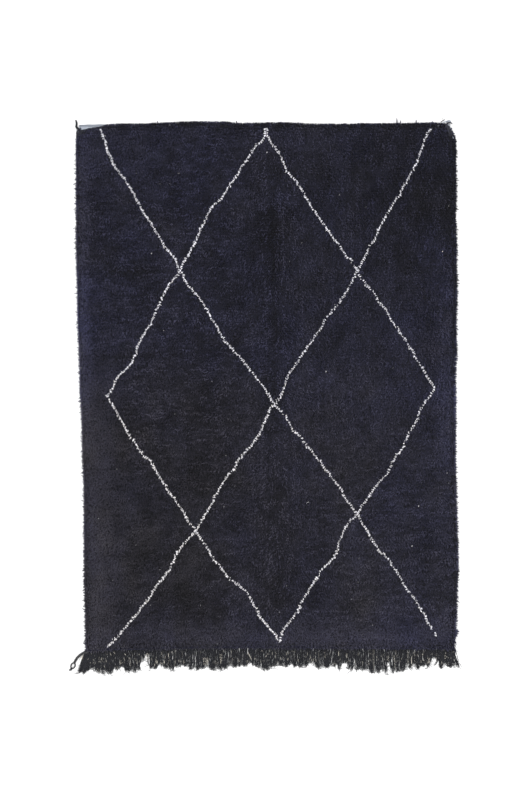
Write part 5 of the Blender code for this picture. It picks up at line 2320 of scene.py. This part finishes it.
FRINGE_STRANDS = rows(
    Strand,
    ((146.8, 660.0), (147.0, 664.0), (143.5, 665.5), 0.0018, 0.0),
    ((143.2, 659.2), (145.2, 661.4), (147.4, 662.2), 0.0020, 0.0, 0.007),
    ((149.6, 658.6), (147.6, 660.8), (146.2, 663.4), 0.0020, 0.0, 0.007),
    ((146.4, 655.6), (147.0, 656.6), (147.6, 657.8), 0.0016, 0.0, 0.008),
    ((145.4, 654.5), (144.3, 658.0), (146.6, 660.5), 0.0014, 0.0, 0.007),
    ((148.2, 654.0), (149.0, 658.0), (146.6, 660.5), 0.0014, 0.0, 0.007),
    ((438.4, 657.0), (436.8, 663.0), (433.6, 667.2), 0.0024, 0.0),
    ((438.0, 657.0), (436.2, 662.6), (433.2, 666.6), 0.0024, 0.0),
    ((438.8, 658.0), (437.2, 663.4), (434.2, 666.2), 0.0022, 0.0),
    ((358.4, 662.0), (357.4, 667.0), (354.4, 670.4), 0.0022, 0.0),
    ((358.0, 661.0), (356.9, 666.0), (354.9, 669.6), 0.0022, 0.0),
    ((264.0, 668.0), (263.2, 674.0), (263.6, 680.0), 0.0007, 0.12, 0.002),
    ((79.6, 671.5), (78.6, 673.6), (77.6, 674.3), 0.0009, 0.0, 0.002),
    ((140.0, 668.0), (140.9, 670.5), (142.2, 673.0), 0.0010, 0.0, 0.002),
)
WISP_CURVE = ((0.33, 0.10), (0.70, 0.55), (1.0, 1.0))  # how far along and aside a wisp's points lie
GLIMPSE_CURVE = (1.0, 0.6, 1.4)  # how far aside a broken glimpse's points lie
HAIR_CURVE = (0.0, 0.3, 0.6, 1.3)  # and a stray hair's
Part = tuple[float, float, Lock | Gap]  # a lock or gap, with its stretch at the tips


@dataclass
class Fringe:
    """The warp ends at the near end: crimped yarns that lie on the floor and gather in locks."""

    cloth: Cloth
    per_pixel: float = 6.0  # yarns for each pixel of the rug's width
    count_vary: float = 0.3
    left_more: float = 0.5  # and how many more at its left end
    left_wide: float = 22.0
    right_more: float = 0.5
    right_wide: float = 7.0
    root_in: float = 0.007  # how far inside the cloth's end they start
    root_high: float = 0.003
    left_px: float = 79.0  # the fringe's ends at its tips
    right_px: float = 457.0
    left_spread: float = 6.4  # how far its corner yarns spread beyond the cloth
    right_spread: float = 2.6
    spread_wide: float = 13.0
    valley: float = 2.7  # how far up two locks part
    valley_round: float = 1.4
    lean: float = 1.5  # how far a lock's tip leans to one side, in pixels
    lock_stray: float = 0.6
    gap_stray: float = 0.5
    gap_up: float = 0.3
    tip_vary: float = 1.1
    tip_past: float = 2.0  # how far the longest yarns come past the charted tips, in pixels
    short_share: float = 0.14
    short_by: float = 5.0
    bends: Pair = (0.42, 0.72)  # how far along a yarn its two bends are
    bend_aside: float = 0.35  # how far the second one has turned to the tip
    wander: float = 1.1  # of the yarns' bends, in pixels
    crossing_share: float = 0.6  # yarns that cross their neighbours
    crossing: float = 2.2
    pale_share: float = 0.012  # yarns of undyed wool among the rest
    pale: Pair = (0.08, 0.45)
    shade_vary: float = 0.22
    thick: Pair = (0.0017, 0.0029)
    waves: Pair = (2.5, 6.0)
    wave_tall: Pair = (0.0004, 0.0024)
    low: Pair = (0.0012, 0.0045)
    rise: float = 0.002  # how much higher a yarn may be at its first bend
    lie: float = 0.0005  # and how much it is at its second
    broken: float = 0.92  # paleness below which a glimpse is broken into short stretches
    stretch: float = 2.4  # their pitch, in pixels
    stretch_share: float = 0.6
    stretch_stray: float = 0.35
    glimpse_high: float = 0.0065
    flecks: int = 170  # short stretches of undyed wool that show in the dark
    fleck_ends: Pair = (4.0, -2.0)  # where they begin and end, from the fringe's ends
    fleck_py: tuple[float, float, float] = (652.0, 661.0, 667.0)  # and how they gather along the yarns
    fleck_long: Pair = (0.3, 1.1)
    fleck_lean: float = 0.6
    fleck_thick: Pair = (0.0013, 0.0026)
    fleck_pale: Pair = (0.25, 0.85)
    fleck_high: float = 0.0062
    wisps: int = 780  # short ends that stick out of the locks' tips at any angle
    wisp_long: Pair = (2.8, 6.0)
    wisp_turn: float = 0.95
    wisp_curl: float = 0.35
    wisp_up: float = 0.6  # how far above the yarns' tips they are, in pixels
    wisp_back: Pair = (0.5, 1.1)  # how far back a wisp starts, of its length
    wisps_above: float = 0.0015
    wisp_thick: Pair = (0.0012, 0.0024)
    tangles: int = 420  # and short ends that lie across the yarns
    tangle_turn: float = 1.25
    tangle_span: Pair = (-0.6, 1.4)  # where on a yarn's middle part they are
    hairs: int = 380
    hair_stray: float = 1.7
    hair_past: Pair = (-3.0, 1.0)
    hair_thick: Pair = (0.0007, 0.0013)

    def parts(self) -> list[Part]:
        """Shares the tips out among the locks and gaps.

        Returns:
            The locks and gaps in order, each with its stretch.
        """
        tips = sorted(LOCKS, key=lambda lock: lock.px)
        parts = []
        left = self.left_px
        for lock, after in zip(tips, [*tips[1:], None]):
            gaps = [gap for gap in GAPS if after and lock.px < (gap.left + gap.right) / 2.0 <= after.px]
            if gaps:
                parts.append((left, gaps[0].left, lock))
                parts += [(gap.left, gap.right, gap) for gap in gaps]
                left = gaps[-1].right
            else:
                share = 0.5 if not after else lock.wide / (lock.wide + after.wide)
                right = self.right_px if not after else lock.px + (after.px - lock.px) * (0.25 + share / 2.0)
                parts.append((left, right, lock))
                left = right
        return parts

    def roots(self, px: Array) -> Array:
        """Where yarns start.

        Args:
            px: where their ends are, across.

        Returns:
            Their starts, in pixels.
        """
        inwards = self.left_spread * np.exp(-(px - self.left_px) / self.spread_wide)
        root_px = px + inwards - self.right_spread * np.exp((px - self.right_px) / self.spread_wide)
        x, _ = self.cloth.pixel(root_px, root_px)
        root_y = self.cloth.near(x) + self.root_in - self.cloth.origin[1]
        return np.stack([root_px, self.cloth.end_pixel - root_y / self.cloth.metres_per_pixel], 1)

    def part_yarns(self, part: Part, rng: Random) -> Array:
        """The start, two bends and the end of each yarn of a lock or above a gap.

        Args:
            part: the lock or gap, with its stretch.
            rng: the fringe's random source.

        Returns:
            An array of four points for each yarn, in pixels.
        """
        left, right, spot = part
        near_left = math.exp(-(left - self.left_px) / self.left_wide)
        near_right = math.exp(-(self.right_px - right) / self.right_wide)
        dense = self.per_pixel * (1.0 + self.left_more * near_left + self.right_more * near_right)
        count = max(1, round((right - left) * dense + rng.normal(0.0, self.count_vary)))
        place = left + (right - left) * (np.arange(count) + rng.random(count)) / count
        start = self.roots(place)
        ends = self.gap_ends if isinstance(spot, Gap) else self.lock_ends
        end = ends(place, part, rng)
        way = np.stack([place, end[:, 1]], 1) - start
        first, second = (
            start + way * share + rng.normal(0.0, self.wander, (count, 2)) for share in self.bends
        )
        second[:, 0] += (end[:, 0] - place) * self.bend_aside
        crossing = rng.random(count) < self.crossing_share
        for bend in (first, second):
            bend[:, 0] += crossing * rng.normal(0.0, self.crossing, count)
        return np.stack([start, first, second, end], axis=1)

    def gap_ends(self, place: Array, part: Part, rng: Random) -> Array:
        """Where the yarns above a gap end.

        Args:
            place: where they would end across, if they ran straight.
            part: the gap, with its stretch.
            rng: the fringe's random source.

        Returns:
            The ends, in pixels.
        """
        count = len(place)
        px = place + rng.normal(0.0, self.gap_stray, count)
        return np.stack([px, part[2].top + rng.normal(0.0, self.tip_vary, count) - self.gap_up], 1)

    def lock_ends(self, place: Array, part: Part, rng: Random) -> Array:
        """Where the yarns of a lock end.

        Args:
            place: where they would end across, if they ran straight.
            part: the lock, with its stretch.
            rng: the fringe's random source.

        Returns:
            The ends, in pixels.
        """
        left, right, spot = part
        count = len(place)
        share = (place - left) / (right - left) - 0.5
        rim = np.abs(share * 2.0)
        px = spot.px + share * spot.wide + (1.0 - rim) * rng.normal(0.0, self.lean)
        px = px + (place - px) * rim**2 + rng.normal(0.0, self.lock_stray, count)
        py = spot.py + self.tip_past - self.valley * rim**self.valley_round
        py = py - np.abs(rng.normal(0.0, self.tip_vary, count))
        short = rng.random(count) < self.short_share
        return np.stack([px, py - rng.uniform(0.1, 1.0, count) * short * self.short_by], 1)

    def batch(self, points: Array, rng: Random, on_top: float = 0.0) -> Yarns:
        """Lays yarns on the floor along charted points.

        Args:
            points: four points for each yarn, in pixels.
            rng: the fringe's random source.
            on_top: how much higher than usual they lie.

        Returns:
            The batch.
        """
        count = len(points)
        x, y = self.cloth.pixel(points[..., 0], points[..., 1])
        low = rng.uniform(*self.low, count) + on_top
        rise = rng.uniform(0.0, self.rise, count)
        z = np.stack([np.full(count, self.root_high), low + rise, low + self.lie, low], 1)
        line = np.stack([x, y, z], 2)
        return Yarns.make(
            line[:, 0],
            [line[:, k] - line[:, 0] for k in (1, 2, 3)],
            rng.uniform(*self.thick, count),
            np.exp(rng.normal(0.0, self.shade_vary, count)),
            np.where(rng.random(count) < self.pale_share, rng.uniform(*self.pale, count), 0.0),
            rng.uniform(*self.waves, count),
            rng.uniform(*self.wave_tall, count),
            rng.random(count),
        )

    def hair_points(self, points: Array, rng: Random) -> Array:
        """Fine hairs that stray from some of the yarns.

        Args:
            points: the yarns' points.
            rng: the fringe's random source.

        Returns:
            Four points for each hair, in pixels.
        """
        hairs = points[rng.integers(0, len(points), self.hairs)]
        hairs[..., 0] += rng.normal(0.0, self.hair_stray, (self.hairs, 1)) * np.array(HAIR_CURVE)
        hairs[:, 3, 1] += rng.uniform(*self.hair_past, self.hairs)
        return hairs

    def glimpses(self, rng: Random) -> list[Strand]:
        """The charted pale yarns, the fainter ones broken where dark yarns cross them.

        Args:
            rng: the fringe's random source.

        Returns:
            Their stretches.
        """
        strands = []
        for px, py, end_px, end_py, thick, pale in GLIMPSES:
            parts = 1
            if pale < self.broken:
                parts = max(1, round(math.hypot(end_px - px, end_py - py) / self.stretch))
            for k in range(parts):
                low, high = k / parts, (k + (self.stretch_share if parts > 1 else 1.0)) / parts
                aside = rng.normal(0.0, self.stretch_stray) * (parts > 1)
                spots = (
                    (px + (end_px - px) * share + aside * bend, py + (end_py - py) * share)
                    for share, bend in zip((low, (low + high) / 2.0, high), GLIMPSE_CURVE)
                )
                strands.append(Strand(*spots, thick / 1000.0, pale, self.glimpse_high))
        return strands

    def wisp_points(self, points: Array, rng: Random) -> Array:
        """Short ends that curl out near some yarns' tips, and others that lie across their middles.

        Args:
            points: the yarns' points.
            rng: the fringe's random source.

        Returns:
            Four points for each end, in pixels.
        """
        tips = points[rng.integers(0, len(points), self.wisps), 3] - [0.0, self.wisp_up]
        chosen = points[rng.integers(0, len(points), self.tangles)]
        place = rng.uniform(*self.tangle_span, (self.tangles, 1))
        spot = np.concatenate([tips, chosen[:, 1] + (chosen[:, 2] - chosen[:, 1]) * place])
        count = len(spot)
        turn = np.where(np.arange(count) < self.wisps, self.wisp_turn, self.tangle_turn)
        angle = rng.normal(0.0, 1.0, count) * turn
        long = rng.uniform(*self.wisp_long, count)
        way = np.stack([np.sin(angle), np.cos(angle)], axis=1)
        curl = np.stack([way[:, 1], -way[:, 0]], axis=1) * rng.normal(0.0, self.wisp_curl, (count, 1))
        start = spot - way * (long * rng.uniform(*self.wisp_back, count))[:, None]
        steps = [start + (way * share + curl * bend) * long[:, None] for share, bend in WISP_CURVE]
        return np.stack([start, *steps], axis=1)

    def fleck(self, rng: Random) -> Strand:
        """A short pale stretch somewhere among the dark yarns.

        Args:
            rng: the fringe's random source.

        Returns:
            The stretch.
        """
        first, last = self.fleck_ends
        px = rng.uniform(self.left_px + first, self.right_px + last)
        py = rng.triangular(*self.fleck_py)
        long, lean = rng.uniform(*self.fleck_long), rng.normal(0.0, self.fleck_lean)
        start, end = (px - lean * long, py - long), (px + lean * long, py + long)
        thick, pale = rng.uniform(*self.fleck_thick), rng.uniform(*self.fleck_pale)
        return Strand(start, (px, py), end, thick, pale, self.fleck_high)

    def build(self, finish: Material) -> Piece:
        """Makes the fringe.

        Args:
            finish: the warp's yarn.

        Returns:
            The piece.
        """
        rng = Seed.FRINGE.source()
        points = np.concatenate([self.part_yarns(part, rng) for part in self.parts()])
        yarns = self.batch(points, rng)
        hairs = self.batch(self.hair_points(points, rng), rng)
        hairs.thick = rng.uniform(*self.hair_thick, self.hairs)
        wisps = self.batch(self.wisp_points(points, rng), rng, self.wisps_above)
        wisps.thick = rng.uniform(*self.wisp_thick, len(wisps.thick))
        strands = [*self.glimpses(rng), *FRINGE_STRANDS, *(self.fleck(rng) for _ in range(self.flecks))]
        charted = strand_batch(self.cloth, strands)
        form = YarnForm(sides=3, rings=5, spread=1.0, tip=0.2)
        return form.spin("fringe_yarns", Yarns.join([yarns, hairs, wisps, charted]), finish)


@dataclass
class Studio:
    """The pale floor, the soft lights and the camera, straight above the rug."""

    cloth: Cloth
    lens: float = 85.0
    film: float = 36.0
    frame_px: Pair = (264.0, 396.0)  # the picture's middle
    frame_tall: float = 3.572  # how much of the floor it shows, in metres
    focus_height: float = 0.02
    camera_reach: float = 100.0
    floor_size: float = 40.0
    sky: float = 1.3
    key: float = 0.8
    key_lean: Pair = (-0.55, 0.45)
    fill: float = 0.25
    fill_lean: Pair = (0.6, -0.3)
    softness: float = 60.0  # how wide the lamps look, in degrees

    def build(self) -> None:
        """Sets the stage."""
        self.add_floor()
        self.add_camera()
        self.add_sun("key_light", self.key_lean, self.key)
        self.add_sun("fill_light", self.fill_lean, self.fill)
        world = bpy.data.worlds.new("soft_room")
        world.use_nodes = True
        background = world.node_tree.nodes["Background"]
        background.inputs["Color"].default_value = (1.0, 1.0, 1.0, 1.0)
        background.inputs["Strength"].default_value = self.sky
        scene = bpy.context.scene
        scene.world = world
        scene.view_settings.view_transform = "Standard"
        scene.view_settings.look = "None"

    def add_floor(self) -> None:
        """Lays a wide plain floor."""
        mesh = bpy.data.meshes.new("floor")
        half = self.floor_size / 2.0
        corners = [(-half, -half, 0.0), (half, -half, 0.0), (half, half, 0.0), (-half, half, 0.0)]
        mesh.from_pydata(corners, [], [(0, 1, 2, 3)])
        mesh.materials.append(FloorFinish().make())
        floor = add_piece("floor", mesh)

    def add_sun(self, name: str, lean: Pair, strength: float) -> None:
        """Hangs a very soft lamp that shines down, leaning from one side.

        Args:
            name: the lamp's name.
            lean: how far it stands towards +X and +Y for each metre up.
            strength: how strong it is.
        """
        light = bpy.data.lights.new(name, "SUN")
        light.energy = strength
        light.angle = math.radians(self.softness)
        lamp = add_piece(name, light)
        lamp.rotation_euler = Vector((*lean, 1.0)).to_track_quat("Z", "Y").to_euler()

    def add_camera(self) -> None:
        """Hangs the photograph's camera straight above."""
        camera = bpy.data.cameras.new("camera")
        camera.lens = self.lens
        camera.sensor_width = self.film
        camera.clip_end = self.camera_reach
        holder = add_piece("camera", camera)
        x, y = self.cloth.pixel(*self.frame_px)
        away = self.frame_tall * self.lens / self.film
        holder.location = (float(x), float(y), self.focus_height + away)
        bpy.context.scene.camera = holder


def dress(piece: Piece) -> Piece:
    """Makes a piece ride on the rug's body and reports it.

    Args:
        piece: the piece.

    Returns:
        The same piece.
    """
    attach(piece, BODY)
    triangles = sum(len(face.vertices) - 2 for face in piece.data.polygons)
    LOG.info("%s: %d triangles", piece.name, triangles)
    return piece


def main() -> None:
    """Builds the rug's looks piece by piece and sets the stage."""
    logging.basicConfig(level=logging.INFO, format="%(name)s: %(message)s")
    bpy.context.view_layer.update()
    cloth = Cloth()
    Studio(cloth).build()
    dark, ivory, warp = DARK_WOOL.make(), IVORY_WOOL.make(), WARP_YARN.make()

    pile = Pile(cloth)
    lattice = dress(Lattice(pile).build(ivory))
    bed = dress(PileBed(pile).build(BedFinish().make()))
    bands = [dress(band) for band in pile.build(dark)]
    specks = dress(Specks(cloth).build(ivory))
    rim = Rim(pile)
    tufts = dress(rim.build(dark))
    cords = dress(rim.build_cords(dark))
    fringe = dress(Fringe(cloth).build(warp))
    corners = dress(CornerYarns(cloth).build(HEM_YARN.make()))
    plait_maker = CornerPlait(cloth)
    plait = dress(plait_maker.build(warp))
    plait_ends = dress(plait_maker.build_ends(warp))
    tie = dress(CornerTie(cloth).build(warp))
    weave = dress(GroundWeave(cloth).build(WeaveFinish().make()))

    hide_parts("pile_field")
    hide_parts("fringe")
    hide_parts("corner_plait")
    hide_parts("corner_tie")


if __name__ == "__main__":
    main()
